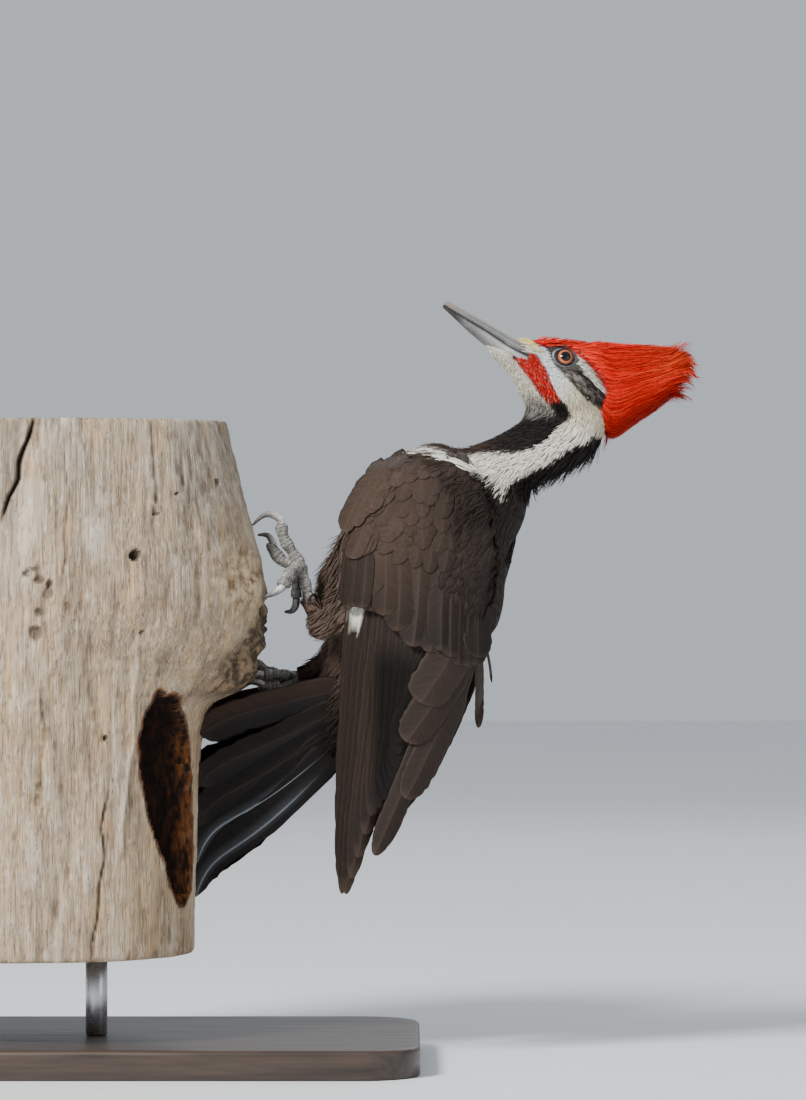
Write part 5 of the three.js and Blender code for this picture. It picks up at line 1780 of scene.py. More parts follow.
        # Painted highlight: ember on the upper side of the locks towards their tips.
        tips = ramp(280, 310, path[..., 0]) * ramp(-0.7, 0.3, np.sin(angle))[:, None]
        light = light + tips * rng.uniform(0.1, 1.0, (count, 1))
        colour = mix(scarlet, ember, np.clip(light, 0, 1)[..., None])
        # Painted shade: the inner locks and the underside of the crest are darkened.
        dark = mix(1.0, 0.45, ramp(0.85, 0.55, out)) * mix(0.5, 1.0, ramp(-1.0, -0.2, np.sin(angle)))
        return colour * dark[:, None, None] * rng.uniform(0.7, 1.15, (count, 1, 1))


# ------------------------------------------------------------------ bill and eyes


def bill_rings(way):
    """One half of the bill through its rows: flat along the gape, round beyond, ridged along its keel."""
    rings, sides = 44, 26
    run, end = BILL_TIP["upper"] if way > 0 else BILL_TIP["lower"]
    column = 2 if way > 0 else 3
    rows = [(row[0], row[1], row[column], row[4]) for row in BILL]
    rows.append((rows[-1][0] + run, rows[-1][1], end, 1.1))
    x, gape, tall, wide = along(rows, 1 - (1 - np.linspace(0, 1, rings)) ** 1.25).T
    turn = np.pi * np.linspace(0, 1, sides)[None]
    keel = 1 + 0.05 * bell(turn, np.pi / 2, 0.16) - 0.05 * bell(turn, np.pi / 2, 0.5)
    ridge = 0.045 * (bell(turn, 0.75, 0.13) + bell(turn, np.pi - 0.75, 0.13))
    size = keel + ridge * (way > 0) * ramp(70, 40, x)[:, None]
    local = np.stack([
        np.repeat(x[:, None], sides, 1),
        wide[:, None] * np.cos(turn) * size,
        gape[:, None] + way * (0.12 + tall[:, None] * np.sin(turn) * size),
    ], -1)
    return from_head(local), local


def horn_finish(name, colour, pale, stretch, scale, rough):
    """Horn: a dark and a pale tone mixed by noise drawn out along the piece, growth lines in the bump."""
    material, tree = finish(name)
    x, y, _ = tree.separate(tree.attribute("Grow")["Vector"])
    drawn = tree.combine(tree.times(x, stretch), tree.times(y, scale), 0.0)
    streak = tree.noise(drawn, 1.0, 4.0, 0.6)
    mottle = tree.noise(tree.place(), 900.0, 3.0)
    share = tree.fused(mottle, 0.3, tree.times(streak, 0.7))
    tint = tree.attribute("tint")["Color"]
    tone = tree.blend(tree.span(share, 0.35, 0.65), colour, pale)
    tree.dress(
        colour=tree.blend(1.0, tone, tint, "MULTIPLY"),
        rough=tree.span(share, 0.3, 0.7, rough - 0.08, rough + 0.12),
        normal=tree.bump(streak, 0.00025),
    )
    return material


class WOODPECKER_OT_bill(bpy.types.Operator):
    """Builds the two halves of the chisel bill"""

    bl_idname = "woodpecker.bill"
    bl_label = "Bill"

    def execute(self, context):
        horn = context.scene.woodpecker_horn
        dark, pale = np.array(horn.bill) * 0.75, np.array(horn.bill) * 1.5
        material = horn_finish("bill_horn", dark, pale, 40.0, 260.0, 0.36)
        for name, way in (("bill_upper", 1), ("bill_lower", -1)):
            rings, local = bill_rings(way)
            mesh = loft_mesh(f"{name}_horn", loft(rings))
            flat = local.reshape(-1, 3)
            reach = flat[:, 0]
            stations, levels, uppers = np.array(BILL)[:, :3].T
            tall = np.abs(flat[:, 2] - np.interp(reach, stations, levels))
            tall = tall / np.interp(reach, stations, uppers)
            lines = 0.16 * np.sin(34 * tall + 0.05 * reach)
            # Painted light on the horn: the upper half is lighter towards its ridge, partly a painted
            # highlight, and both halves darken along the gape as painted shade in the seam between them.
            if way > 0:
                tone = mix(1.9, 2.7, ramp(0.45, 0.75, tall)) + lines
                tone = tone * mix(1.0, 0.62, bell(tall, 0.5, 0.07) * ramp(74, 60, reach))
                tone = tone * mix(1.0, 0.12, ramp(0.90, 0.97, tall) * ramp(52, 47, reach))
                tone = tone * mix(0.05, 1.0, ramp(0.08, 0.26, tall))
            else:
                tone = mix(1.5, 2.9, ramp(0.75, 0.2, tall)) + lines
                tone = tone * mix(1.0, 0.5, ramp(42, 58, reach)) * mix(0.05, 1.0, ramp(0.04, 0.16, tall))
                tone = tone * mix(1.0, 0.16, ramp(60, 68, reach) * ramp(1.1, 0.5, tall))
            worn = ramp(62, 76, reach)[:, None]
            warm = np.clip(worn + 0.55 * ramp(0.5, 0.8, tall)[:, None], 0, 1)
            colours = tone[:, None] * mix(np.array([1.0, 1.0, 1.03]), np.array([1.12, 1.0, 0.82]), warm)
            set_tint(mesh, colours)
            turn = np.arctan2(flat[:, 1], flat[:, 2] + 3.3)
            set_map(mesh, "Grow", np.stack([flat[:, 0] / 100, turn / 10], -1))
            add_piece(f"{name}_horn", mesh, material, "bill_horn", name)
        return {"FINISHED"}


def eye_rings(side):
    """The eyeball as a globe about its outward axis, the clear front bulging by exp(-(r / 3.6)^2)."""
    rings, sides = 40, 48
    polar = np.linspace(0.02, np.pi - 0.02, rings)[:, None]
    turn = ring_angles(sides)[None]
    flat = EYE["radius"] * np.sin(polar)
    bulge = 0.5 * bell(flat, 0, 3.6) * (polar < np.pi / 2)
    local = np.stack([
        EYE["x"] + flat * np.cos(turn),
        side * (EYE["y"] + EYE["radius"] * np.cos(polar) + bulge + 0 * turn),
        EYE["z"] + flat * np.sin(turn),
    ], -1)
    plane = np.stack([flat * np.cos(turn), flat * np.sin(turn)], -1)
    return from_head(local), plane, np.cos(polar) + 0 * turn


def lid_rings(side):
    """The bare skin and the lids' edge: from the eyeball out to an ellipse on the head, in low folds."""
    rings, sides = 22, 72
    share = np.linspace(0, 1, rings)[:, None]
    turn = ring_angles(sides)[None]
    inner = LIDS["opening"] * np.sqrt(1 - 0.10 * np.sin(turn) ** 2)
    corner = 1 + 0.10 * np.cos(turn) ** 8
    outer = 1 / np.sqrt((np.cos(turn) / LIDS["length"]) ** 2 + (np.sin(turn) / LIDS["height"]) ** 2)
    radius = mix(inner * corner, outer, share)
    x, z = EYE["x"] + 0.2 * share + radius * np.cos(turn), EYE["z"] + radius * np.sin(turn)
    globe = EYE["y"] + np.sqrt(np.maximum(EYE["radius"] ** 2 - (inner * corner) ** 2, 1)) + 0.25
    _, crown, throat, wide = np.moveaxis(lookup(SKULL, x), -1, 0)
    up = np.clip((z - (crown + throat) / 2) / ((crown - throat) / 2), -0.99, 0.99)
    head = (wide - 0.9) * np.sqrt(1 - up**2) + 0.35
    folds = 0.6 * bell(share, 0.2, 0.12) + 0.4 * bell(share, 0.66, 0.14)
    beads = 0.12 * np.cos(turn * 30) * bell(share, 0.12, 0.1)
    beads = beads + 0.10 * np.sin(turn * 11 + 9 * share) * np.sin(np.pi * share)
    y = mix(globe + 0 * share, head, ramp(0, 0.75, share)) + folds + beads - 0.9 * ramp(0.75, 1.0, share)
    top = np.stack([x, side * y, z], -1)
    under = top[::-1] - np.array([0, side * 0.7, 0])
    return from_head(np.concatenate([top, under])), np.concatenate([share, share[::-1]]) + 0 * turn


class WOODPECKER_OT_eyes(bpy.types.Operator):
    """Builds the eyeballs with pupil and iris, and the lids round them"""

    bl_idname = "woodpecker.eyes"
    bl_label = "Eyes"

    def execute(self, context):
        horn = context.scene.woodpecker_horn
        glass, lid = self.eye_finish(horn), self.lid_finish()
        for name, side in (("eye_left", 1), ("eye_right", -1)):
            rings, plane, front = eye_rings(side)
            mesh = loft_mesh(f"{name}_ball", loft(rings))
            radius = np.linalg.norm(plane, axis=-1).reshape(-1)
            radius = np.where(front.reshape(-1) > 0, radius, 8)
            turn = np.arctan2(plane[..., 1], plane[..., 0]).reshape(-1)
            set_map(mesh, "Gaze", np.stack([radius / 10, turn / 6.3 + 0.5], -1))
            spread = np.where(front.reshape(-1, 1) > 0, 1, 0.01)
            set_map(mesh, "OFBake", 0.5 + plane.reshape(-1, 2) / 13 * spread)
            add_piece(f"{name}_ball", mesh, glass, "eye", name)
            rings, share = lid_rings(side)
            mesh = self.closed_ring(f"{name}_lids", rings)
            turn = ring_angles(share.shape[1])[None]
            beads = 0.75 + 0.25 * np.sin(turn * 26)
            # Painted light: the outer pale band of the bare ring is lighter towards its upper front, and its
            # lower back edge is darkened as painted shade.
            front = ramp(0.0, 0.95, np.cos(turn - 0.6))
            inner = 0.5 * bell(share, 0.52, 0.06) * beads * mix(0.8, 0.35, front)
            outer = bell(share, 0.78, 0.15) * mix(0.45, 1.9, front)
            under = 0.5 * bell(share, 0.86, 0.06) * (1 - front)
            tone = np.maximum(0.015, (0.02 + inner + outer) * (1 - under))
            set_tint(mesh, tone.reshape(-1, 1))
            add_piece(f"{name}_lids", mesh, lid, "head_plumage")
        return {"FINISHED"}

    def closed_ring(self, name, rings):
        """A ring with a hole: the last section joins the first."""
        count, sides = rings.shape[:2]
        quads, _ = loft_faces(1, count + 1, sides)
        flat = rings.reshape(-1, 3)
        return make_mesh(name, flat, *facing_out(flat, quads % (count * sides)))

    def eye_finish(self, horn):
        """Pupil, iris and dark rim by distance from the gaze, the iris with rays, under a clear coat."""
        material, tree = finish("eye_glass")
        radius, turn, _ = tree.separate(tree.attribute("Gaze")["Vector"])
        rays = tree.noise(tree.combine(tree.times(turn, 60.0), tree.times(radius, 9.0), 0.0), 1.0)
        tone = np.array(horn.iris)
        iris = tree.blend(tree.span(rays, 0.3, 0.7), tuple(tone * 0.55), tuple(tone * 1.35))
        iris = tree.blend(tree.span(radius, 0.34, 0.41), iris, tuple(tone * (0.5, 0.35, 0.4)))
        edge = horn.pupil / 10
        black = (0.004, 0.003, 0.003)
        colour = tree.blend(tree.span(radius, edge - 0.012, edge + 0.012), black, iris)
        colour = tree.blend(tree.span(radius, 0.405, 0.425), colour, (0.012, 0.008, 0.007))
        tree.dress(
            colour=colour,
            rough=tree.span(rays, 0.0, 1.0, 0.06, 0.1),
            specular=0.05,
            coat=0.75,
            coat_rough=0.02,
        )
        return material

    def lid_finish(self):
        """Grey bare skin with small grains."""
        material, tree = finish("lid_skin")
        grains = tree.cells(tree.place(), 1500.0)
        drift = tree.group(drift_group(), Vector=tree.place(), Scale=300.0, Strength=0.35)
        colour = tree.scale(tree.attribute("tint")["Color"], tree.times(drift["Tone"], 0.27))
        tree.dress(colour=colour, normal=tree.bump(grains, 0.0002), rough=0.55)
        return material


# ------------------------------------------------------------------ legs, feet and claws


def toe_steps(name, index):
    """A function that turns a toe's steps about Y and places them at the toes' joint, and that joint."""
    leg = LEGS[name]
    swing = math.radians(leg["turns"][index])
    joint = np.array(leg["toes"], float) * (1, leg["side"], 1)

    def place(steps):
        """Steps from the joint as places in the model."""
        steps = np.asarray(steps, float) * (1, leg["side"], 1)
        x = steps[:, 0] * math.cos(swing) - steps[:, 2] * math.sin(swing)
        z = steps[:, 0] * math.sin(swing) + steps[:, 2] * math.cos(swing)
        return np.stack([x, steps[:, 1], z], -1) + joint

    return place, joint


def scaly_tube(path, thick, count):
    """A toe or shank: scutes stand out on top, small grains and pads below."""
    share = np.linspace(0, 1, 80)
    curve = along(path, share)
    _, side, up = turning_frames(curve, np.array([0.0, 1, 0]))
    turn = ring_angles(22)[None]
    top = ramp(-0.2, 0.5, np.sin(turn))
    scutes = 0.34 * (1 - (share[:, None] * count) % 1) ** 1.5 * top
    grains = 0.16 * np.sin(turn * 9 + 1.3 * np.sin(share[:, None] * 70))
    grains = grains * np.sin(share[:, None] * count * 9) * (1 - top)
    knuckles = 0.5 * np.sin(5 * np.pi * share[:, None])
    knuckles = knuckles + 0.2 * np.sin(13 * share[:, None] + turn) * np.sin(3 * turn)
    size = thick - 0.15 + knuckles + scutes + grains
    size = size * np.sqrt(np.clip(1.02 - ramp(0.93, 1.0, share[:, None]) * 0.5, 0.2, 1))
    points = ring_points(curve, side, up, size * 0.94 * np.cos(turn), size * np.sin(turn))
    tone = mix(0.35, 1.15, np.sqrt(1 - (share[:, None] * count) % 1)) * mix(0.75, 1.0, top)
    return points, tone + 0 * turn


def claw_path(name, index, toe):
    """The claw's curve from the toe's end, pulled so that a gripping point meets the trunk."""
    place, _ = toe_steps(name, index)
    points = place([toe["toe"][-1], *toe["claw"]])
    if toe["grips"]:
        reach = log_face(points[-1, 1], points[-1, 2]) + 0.6 - points[-1, 0]
        points[:, 0] += reach * (np.arange(len(points)) / (len(points) - 1)) ** 1.5
        clear = log_face(points[1:-1, 1], points[1:-1, 2]) + CLAW_RADIUS["root"] + 0.3
        points[1:-1, 0] = np.maximum(points[1:-1, 0], clear)
    return points


class WOODPECKER_OT_feet(bpy.types.Operator):
    """Builds the shanks, the scaly toes and the claws"""

    bl_idname = "woodpecker.feet"
    bl_label = "Feet"

    def execute(self, context):
        horn = context.scene.woodpecker_horn
        scaly = self.scale_finish(horn)
        dark, pale = np.array(horn.claw) * 0.7, np.array(horn.claw) * 2.2
        material = horn_finish("claw_horn", dark, pale, 30.0, 120.0, 0.3)
        for name in LEGS:
            _, heel, knuckles, _ = leg_points(name)
            bare = mix(heel, knuckles, np.array([[0.43], [0.7], [1.0]]))
            rings, tone = scaly_tube(bare, TARSUS_RADIUS + 0.4, 9)
            mesh = loft_mesh(f"shank_{name}", loft(rings))
            set_tint(mesh, tone.reshape(-1, 1))
            add_piece(f"shank_{name}", mesh, scaly, "foot_skin", f"tarsus_{name}")
            tubes, tones = [], []
            for index, (label, toe) in enumerate(TOES.items()):
                place, joint = toe_steps(name, index)
                path = np.concatenate([joint[None], place(toe["toe"])])
                rings, tone = scaly_tube(path, toe["thick"] * 1.12, 3 + 3 * len(toe["toe"]))
                tubes.append(rings)
                # Painted shade: the left foot's first toe lies in shadow and is darkened.
                tones.append(tone * (0.3 if (name, index) == ("left", 0) else 1.0))
                self.claw(name, index, label, toe, material)
            mesh = loft_mesh(f"toes_{name}", np.stack(tubes))
            set_tint(mesh, np.stack(tones).reshape(-1, 1))
            add_piece(f"toes_{name}", mesh, scaly, "foot_skin", f"foot_{name}")
        return {"FINISHED"}

    def claw(self, name, index, label, toe, material):
        """Narrow from side to side: half width 0.66 of the depth, which tapers as 1 - share^2.4."""
        share = np.linspace(0, 1, 40)
        path = along(claw_path(name, index, toe), share)
        deep = mix(CLAW_RADIUS["root"] + 0.35, CLAW_RADIUS["tip"] + 0.1, share**2.4)[:, None]
        _, side, up = turning_frames(path, np.array([0.0, 1, 0]))
        turn = ring_angles(20)[None]
        points = ring_points(path, side, up, 0.66 * deep * np.cos(turn), deep * np.sin(turn))
        mesh = loft_mesh(f"nail_{name}_{label}", loft(points))
        # Painted shade: the claw of the left foot's first toe is darkened, as it lies in shadow; the left
        # foot's fourth claw is drawn paler.
        shade = {("left", 0): 0.22, ("left", 3): 1.5}.get((name, index), 1.0)
        tone = shade * mix(2.0, 0.5, ramp(0.2, 0.75, share))[:, None]
        # Painted light: each claw is lighter on its upper side and darker beneath.
        tone = tone * mix(0.45, 1.25, ramp(-0.6, 0.6, np.sin(turn)))
        set_tint(mesh, tone.reshape(-1, 1))
        place = np.stack([share[:, None] * 0.3 + 0 * turn, turn / 60 + 0 * share[:, None]], -1)
        set_map(mesh, "Grow", place.reshape(-1, 2))
        add_piece(f"nail_{name}_{label}", mesh, material, "claw_horn", f"claw_{name}_{label}")

    def scale_finish(self, horn):
        """Grey scaly skin: speckled plates with pale flakes and dark joints."""
        material, tree = finish("foot_skin")
        plates = tree.cells(tree.place(), 700.0, "DISTANCE_TO_EDGE")
        drift = tree.group(drift_group(), Vector=tree.place(), Scale=420.0, Strength=0.75)
        tone = tree.times(drift["Tone"], tree.span(plates, 0.0, 0.16, 0.35, 1.05))
        base = tree.blend(1.0, tuple(horn.scales), tree.attribute("tint")["Color"], "MULTIPLY")
        colour = tree.scale(base, tone)
        tree.dress(
            colour=colour,
            normal=tree.bump(tree.fused(plates, 2.0, drift["Height"]), 0.0003),
            rough=0.62,
        )
        return material


# ------------------------------------------------------------------ trunk and stand

LOG_GRID = {"around": 380, "up": 240, "cap": 8}
# The hollow's mouth as angle from +X towards -Y and height, and its depth.
MOUTH = [
    (0.686, 205.6), (0.637, 201.7), (0.601, 203.3), (0.518, 199.3), (0.425, 188.8), (0.354, 176.1),
    (0.285, 156.9), (0.249, 135), (0.232, 113.2), (0.253, 97.1), (0.323, 90.4), (0.421, 91),
    (0.48, 99.4), (0.554, 112.7), (0.63, 124.9), (0.698, 138), (0.738, 153.2), (0.768, 165),
    (0.768, 180), (0.742, 190.6), (0.699, 198.6),
]
CRACKS = [
    # angle and height along the crack, half width in mm, depth; a negative depth is a ridge
    ([(1.42, 352), (1.46, 340), (1.495, 329), (1.51, 319), (1.567, 310), (1.603, 295)], 1.1, 5.0),
    ([(0.994, 151), (1.018, 133), (1.013, 116.5), (1.05, 90.5), (1.087, 62)], 0.7, 2.4),
    ([(0.861, 237.5), (0.84, 207), (0.823, 180), (0.882, 154), (0.922, 117)], 1.6, -1.5),
    ([(0.77, 352), (0.76, 320), (0.79, 290)], 0.6, 1.6), ([(1.25, 345), (1.24, 300), (1.27, 262)], 0.6, 1.3),
    ([(1.38, 215), (1.36, 180), (1.39, 150)], 0.6, 1.2), ([(0.62, 330), (0.58, 290), (0.6, 240)], 0.7, 1.1),
    ([(-0.7, 352), (-0.75, 250), (-0.9, 150)], 1.0, 3.0), ([(-2.2, 352), (-2.1, 240), (-2.3, 62)], 1.3, 4.0),
    ([(2.6, 352), (2.5, 220), (2.65, 62)], 1.2, 4.0), ([(-1.5, 280), (-1.45, 150), (-1.5, 62)], 0.8, 2.0),
    ([(3.1, 330), (3.12, 200), (3.05, 90)], 0.8, 2.0),
]
BORES = [
    # angle, height, radius, depth
    (0.891, 279, 2.0, 6), (0.384, 318.3, 1.5, 5), (0.998, 181.5, 1.3, 3), (0.654, 312.1, 0.8, 3),
    (0.772, 300.4, 0.8, 3), (0.847, 237.5, 0.7, 3), (1.452, 270.4, 3.0, 1.7), (1.40, 268.5, 3.4, 2.1),
    (1.337, 263.7, 1.7, 2.2), (1.327, 258, 3.2, 1.5), (1.384, 248.3, 2.2, 1.4), (1.412, 238.6, 2.6, 1.5),
    (1.24, 251.4, 1.5, 1.0), (1.376, 155.7, 2.0, 1.1), (1.393, 148.9, 2.6, 1.2),
    (-0.9, 240, 2.2, 5), (-2.1, 170, 2.6, 5), (-1.5, 300, 1.6, 4), (2.95, 150, 2.2, 4), (2.2, 300, 1.8, 4),
]


def log_relief(angle, z):
    """Height of the weathered surface over the plain one: long fibres, cracks and borings."""
    around = angle / (2 * np.pi)
    height = (z - LOG["bottom"]) / (LOG["top"] - LOG["bottom"])
    bent = around + 0.004 * np.sin(height * 9)
    relief = 0.7 * value_noise(around, height, 40, 5, 1) + 0.5 * value_noise(bent, height, 110, 9, 2)
    relief += 0.32 * value_noise(around, height, 300, 22, 3) + 0.25 * value_noise(around, height, 170, 90, 4)
    relief += 0.5 * np.maximum(0, value_noise(around, height, 70, 50, 5) - 0.35)
    for line, half, deep in CRACKS:
        turns, levels = np.array(sorted(line, key=lambda step: step[1])).T
        turn = np.interp(z, levels, turns) + 0.006 * np.sin(z / 5.1)
        off = wrapped(angle - turn) * LOG["radius"]
        ends = ramp(levels[0] - 3, levels[0] + 12, z) * ramp(levels[-1] + 6, levels[-1] - 10, z)
        relief -= deep * ends * bell(off, 0, half)
    for turn, level, radius, deep in BORES:
        off = wrapped(angle - turn) * LOG["radius"]
        loose = 0.35 if deep > 2.9 else 0.8
        away = np.hypot(off, (z - level) * 0.8) + loose * radius * value_noise(around, height, 120, 80, 6)
        relief -= deep * ramp(radius * 1.2, radius * 0.6, away)
    return relief


def ledge_wear(angle, z):
    """How rotten the wood is on the underside of the swelling, from 0 to 1."""
    angle = wrapped(angle)
    slope = 214 + 46 * ramp(0.5, 0.0, np.abs(angle))
    return ramp(0.50, 0.30, np.abs(angle)) * ramp(198, 206, z) * ramp(slope + 16, slope - 8, z)


def trunk_radius(angle, z):
    """The plain surface, the swelling's underside kept narrower than its top."""
    angle = wrapped(angle)
    spread = mix(0.50, LOG["spread"], ramp(196, 262, z))
    less = bell(angle, 0, spread) - bell(angle, 0, LOG["spread"])
    return log_radius(angle, z) + lookup(SWELLING, z)[..., 1] * less


class WOODPECKER_OT_trunk(bpy.types.Operator):
    """Builds the cut length of dead trunk with its hollow, cracks and borings"""

    bl_idname = "woodpecker.trunk"
    bl_label = "Trunk"

    def execute(self, context):
        around, up, cap = LOG_GRID["around"], LOG_GRID["up"], LOG_GRID["cap"]
        turn = 2 * np.pi * np.arange(around) / around
        z = np.linspace(LOG["bottom"] + 0.2, LOG["top"] - 0.2, up)[:, None] + 0 * turn
        angle = (turn + 0.4 * np.cos(turn))[None] + 0 * z
        plain, relief, wear = trunk_radius(angle, z), log_relief(angle, z), ledge_wear(angle, z)

        def rough(columns, rows, seed):
            """Noise round and up the trunk."""
            return value_noise(angle / 6.2832, (z - 60) / 300, columns, rows, seed)

        eaten = wear * (2.0 + 2.8 * rough(90, 64, 8) + 1.2 * rough(170, 120, 9))
        edge = np.minimum(z - LOG["bottom"], LOG["top"] - z)
        facing = wrapped(angle)
        mouth = np.stack([facing, z / LOG["radius"]], -1).reshape(-1, 2)
        rim = np.array(MOUTH) / (1, LOG["radius"])
        mouth = depth_inside(mouth, rim).reshape(angle.shape) * LOG["radius"]
        mouth = mouth + 0.7 * rough(260, 90, 12)
        bowl = HOLLOW["deep"] * np.clip(mouth / 9, 0, 1) ** 0.5
        bowl = bowl + 1.5 * ramp(0, 4, mouth) * rough(150, 70, 13)
        knob = np.exp(-(((facing - 0.30) / 0.20) ** 2) - ((z - 264) / 19) ** 2)
        lumps = rough(110, 75, 15) + 0.5 * rough(230, 150, 16)
        eaten = eaten - 1.5 * knob * lumps
        radius = plain - 0.9 + np.clip(relief, -9, 1.8) * ramp(3, -1, mouth)
        radius = radius - eaten - 1.6 * np.exp(-edge / 1.2) - bowl
        rings = self.place(angle, z, radius)
        top = self.cap_rings(rings[-1], cap, LOG["top"], 1)
        bottom = self.cap_rings(rings[0], cap, LOG["bottom"], -1)
        mesh = loft_mesh("trunk_wood", loft(np.concatenate([bottom[::-1], rings, top])))
        inside = ramp(-2.8, -1.0, mouth)
        # Painted light: lit marks the shallow wall of the hollow on one side as sunlit; the rest of the
        # hollow's inside is painted shadow.
        lit = inside * ramp(10, 4, bowl) * ramp(0.52, 0.36, facing + 0.0016 * (z - 144))
        # In wear, the alpha is painted shade where the relief is deep; its other parts are the hollow's
        # inside, the real rot of the ledge and the sawn ends.
        masks = {
            "wear": [inside, wear, 0 * z, ramp(-1.0, -3.2, relief)],
            "hollow": [lit, relief, knob, 0 * z],
        }
        closing = {"wear": (0.0, 0, 1, 0), "hollow": (0.0, 0, 0, 0)}  # the masks over the sawn ends
        for name, middle in masks.items():
            close = np.broadcast_to(closing[name], (cap, around, 4))
            layer = mesh.color_attributes.new(name, "FLOAT_COLOR", "POINT")
            values = np.concatenate([close, np.stack(middle, -1), close])
            layer.data.foreach_set("color", values.ravel().astype(np.float32))
        add_piece("trunk_wood", mesh, self.wood_finish(), "dead_wood", "perch_log")
        return {"FINISHED"}

    def place(self, angle, z, radius):
        """Points of the trunk at an angle from +X towards -Y, a height and a radius."""
        return np.stack([LOG["x"] + radius * np.cos(angle), LOG["y"] - radius * np.sin(angle), z], -1)

    def cap_rings(self, edge, count, height, way):
        """Rings from the edge in to the pith, with a low saw-cut roughness."""
        share = (np.arange(1, count + 1) / (count + 0.02))[:, None]
        centre = np.array([LOG["x"] + 4, LOG["y"]])
        flat = edge[None, :, :2] * (1 - share[..., None]) + centre * share[..., None]
        rough = 0.12 * np.sin(flat[..., 0] * 1.7 + flat[..., 1] * 0.4)
        return np.concatenate([flat, (height - way * (0.25 + rough))[..., None]], -1)

    def wood_finish(self):
        """Weathered wood: grey and tan fibres, brown where rotten, rings on the ends; painted shade in
        cracks, borings and low grain, painted highlights on raised grain, and painted shadow inside the
        hollow with one wall painted as sunlit.
        """
        material, tree = finish("weathered_wood")
        x, y, z = tree.separate(tree.place())
        long_ = tree.combine(x, y, tree.times(z, 0.05))
        middle = tree.combine(x, y, tree.times(z, 0.22))
        fibres = tree.noise(long_, 420.0, 5.0, 0.65)
        fine = tree.noise(long_, 1500.0, 3.0, 0.6)
        patches = tree.noise(middle, 22.0, 4.0, 0.6)
        flecks = tree.noise(middle, 260.0, 4.0, 0.7)
        masks = tree.attribute("wear")
        inside, rotten, ends = tree.separate(masks["Vector"])
        # deep is painted shade in deep cracks and borings.
        deep = masks["Alpha"]
        lit, height, knob = tree.separate(tree.attribute("hollow")["Vector"])
        grey = tree.blend(tree.span(fibres, 0.38, 0.62), (0.165, 0.125, 0.09), (0.47, 0.40, 0.315))
        tan = tree.blend(tree.span(fine, 0.35, 0.65), (0.27, 0.18, 0.10), (0.62, 0.47, 0.31))
        low = tree.span(z, 0.36, 0.16)
        warm = tree.fused(tree.span(patches, 0.42, 0.62), 0.55, tree.times(low, 0.45))
        knots = tree.noise(middle, 75.0, 4.0, 0.7)
        hair = tree.math("ABSOLUTE", tree.math("SUBTRACT", tree.noise(long_, 170.0, 4.0, 0.6), 0.5))
        colour = tree.blend(warm, grey, tan)
        for value, span, tone in (
            # a mask, where it starts and ends and how strong it is at each, and its tone
            # The first two rows are painted light: a painted highlight on raised relief and painted shade in
            # its low parts.
            (height, (0.25, 1.1, 0.0, 0.55), (0.66, 0.57, 0.46)),
            (height, (-0.15, -0.9, 0.0, 0.75), (0.14, 0.10, 0.07)),
            (knots, (0.54, 0.66, 0.0, 0.5), (0.56, 0.37, 0.19)),
            (flecks, (0.57, 0.68, 0.0, 0.55), (0.70, 0.61, 0.49)),
            (flecks, (0.43, 0.33, 0.0, 0.6), (0.11, 0.075, 0.05)),
            (hair, (0.0, 0.011, 0.75, 0.0), (0.10, 0.07, 0.045)),
        ):
            colour = tree.blend(tree.span(value, *span), colour, tone)
        rust = tree.noise(middle, 420.0, 3.0, 0.6)
        rusty = tree.times(tree.span(rust, 0.56, 0.66), tree.fused(low, 0.4, 0.06))
        colour = tree.blend(rusty, colour, (0.52, 0.30, 0.13))
        eaten = tree.noise(tree.place(), 150.0, 5.0, 0.65)
        decay = tree.blend(tree.span(eaten, 0.45, 0.61), (0.010, 0.007, 0.005), (0.27, 0.18, 0.10))
        colour = tree.blend(tree.times(rotten, 0.85), colour, decay)
        crumbs = tree.blend(tree.span(eaten, 0.40, 0.56), (0.16, 0.075, 0.03), (0.72, 0.55, 0.34))
        colour = tree.blend(tree.times(knob, 0.75), colour, crumbs)
        rot = tree.blend(tree.span(flecks, 0.42, 0.62), (0.018, 0.007, 0.003), (0.25, 0.085, 0.024))
        # Painted shadow: dark fills the shaded inside of the hollow; rot shows only on its painted sunlit
        # wall.
        dark = tree.blend(tree.span(flecks, 0.45, 0.70), (0.006, 0.003, 0.002), (0.045, 0.015, 0.006))
        rim = tree.times(inside, tree.math("SUBTRACT", 1.0, inside))
        colour = tree.blend(inside, colour, tree.blend(lit, dark, rot))
        colour = tree.blend(tree.span(rim, 0.03, 0.2, 0.0, 0.7), colour, rot)
        # Painted shade: deep cracks and borings are darkened almost to black.
        colour = tree.blend(tree.times(deep, 0.9), colour, (0.02, 0.014, 0.010))
        square_x = tree.math("POWER", tree.math("ADD", x, 0.05), 2.0)
        square_y = tree.math("POWER", tree.math("ADD", y, 0.015), 2.0)
        pith = tree.math("POWER", tree.math("ADD", square_x, square_y), 0.5)
        wavy = tree.fused(patches, 0.012, pith)
        rings = tree.math("SINE", tree.times(wavy, 2300.0))
        sawn = tree.blend(tree.span(rings, -0.6, 1.0), (0.42, 0.31, 0.19), (0.55, 0.43, 0.28))
        sawn = tree.blend(tree.span(tree.noise(tree.place(), 90.0, 4.0), 0.4, 0.7), sawn, (0.36, 0.30, 0.23))
        colour = tree.blend(ends, colour, sawn)
        tree.dress(colour=colour, rough=tree.span(flecks, 0.3, 0.7, 0.8, 0.95))
        grain = tree.fused(flecks, 0.5, tree.times(fine, 0.25))
        grain = tree.fused(fibres, 0.6, grain)
        tree.dress(normal=tree.bump(grain, 0.0022), specular=0.2)
        return material


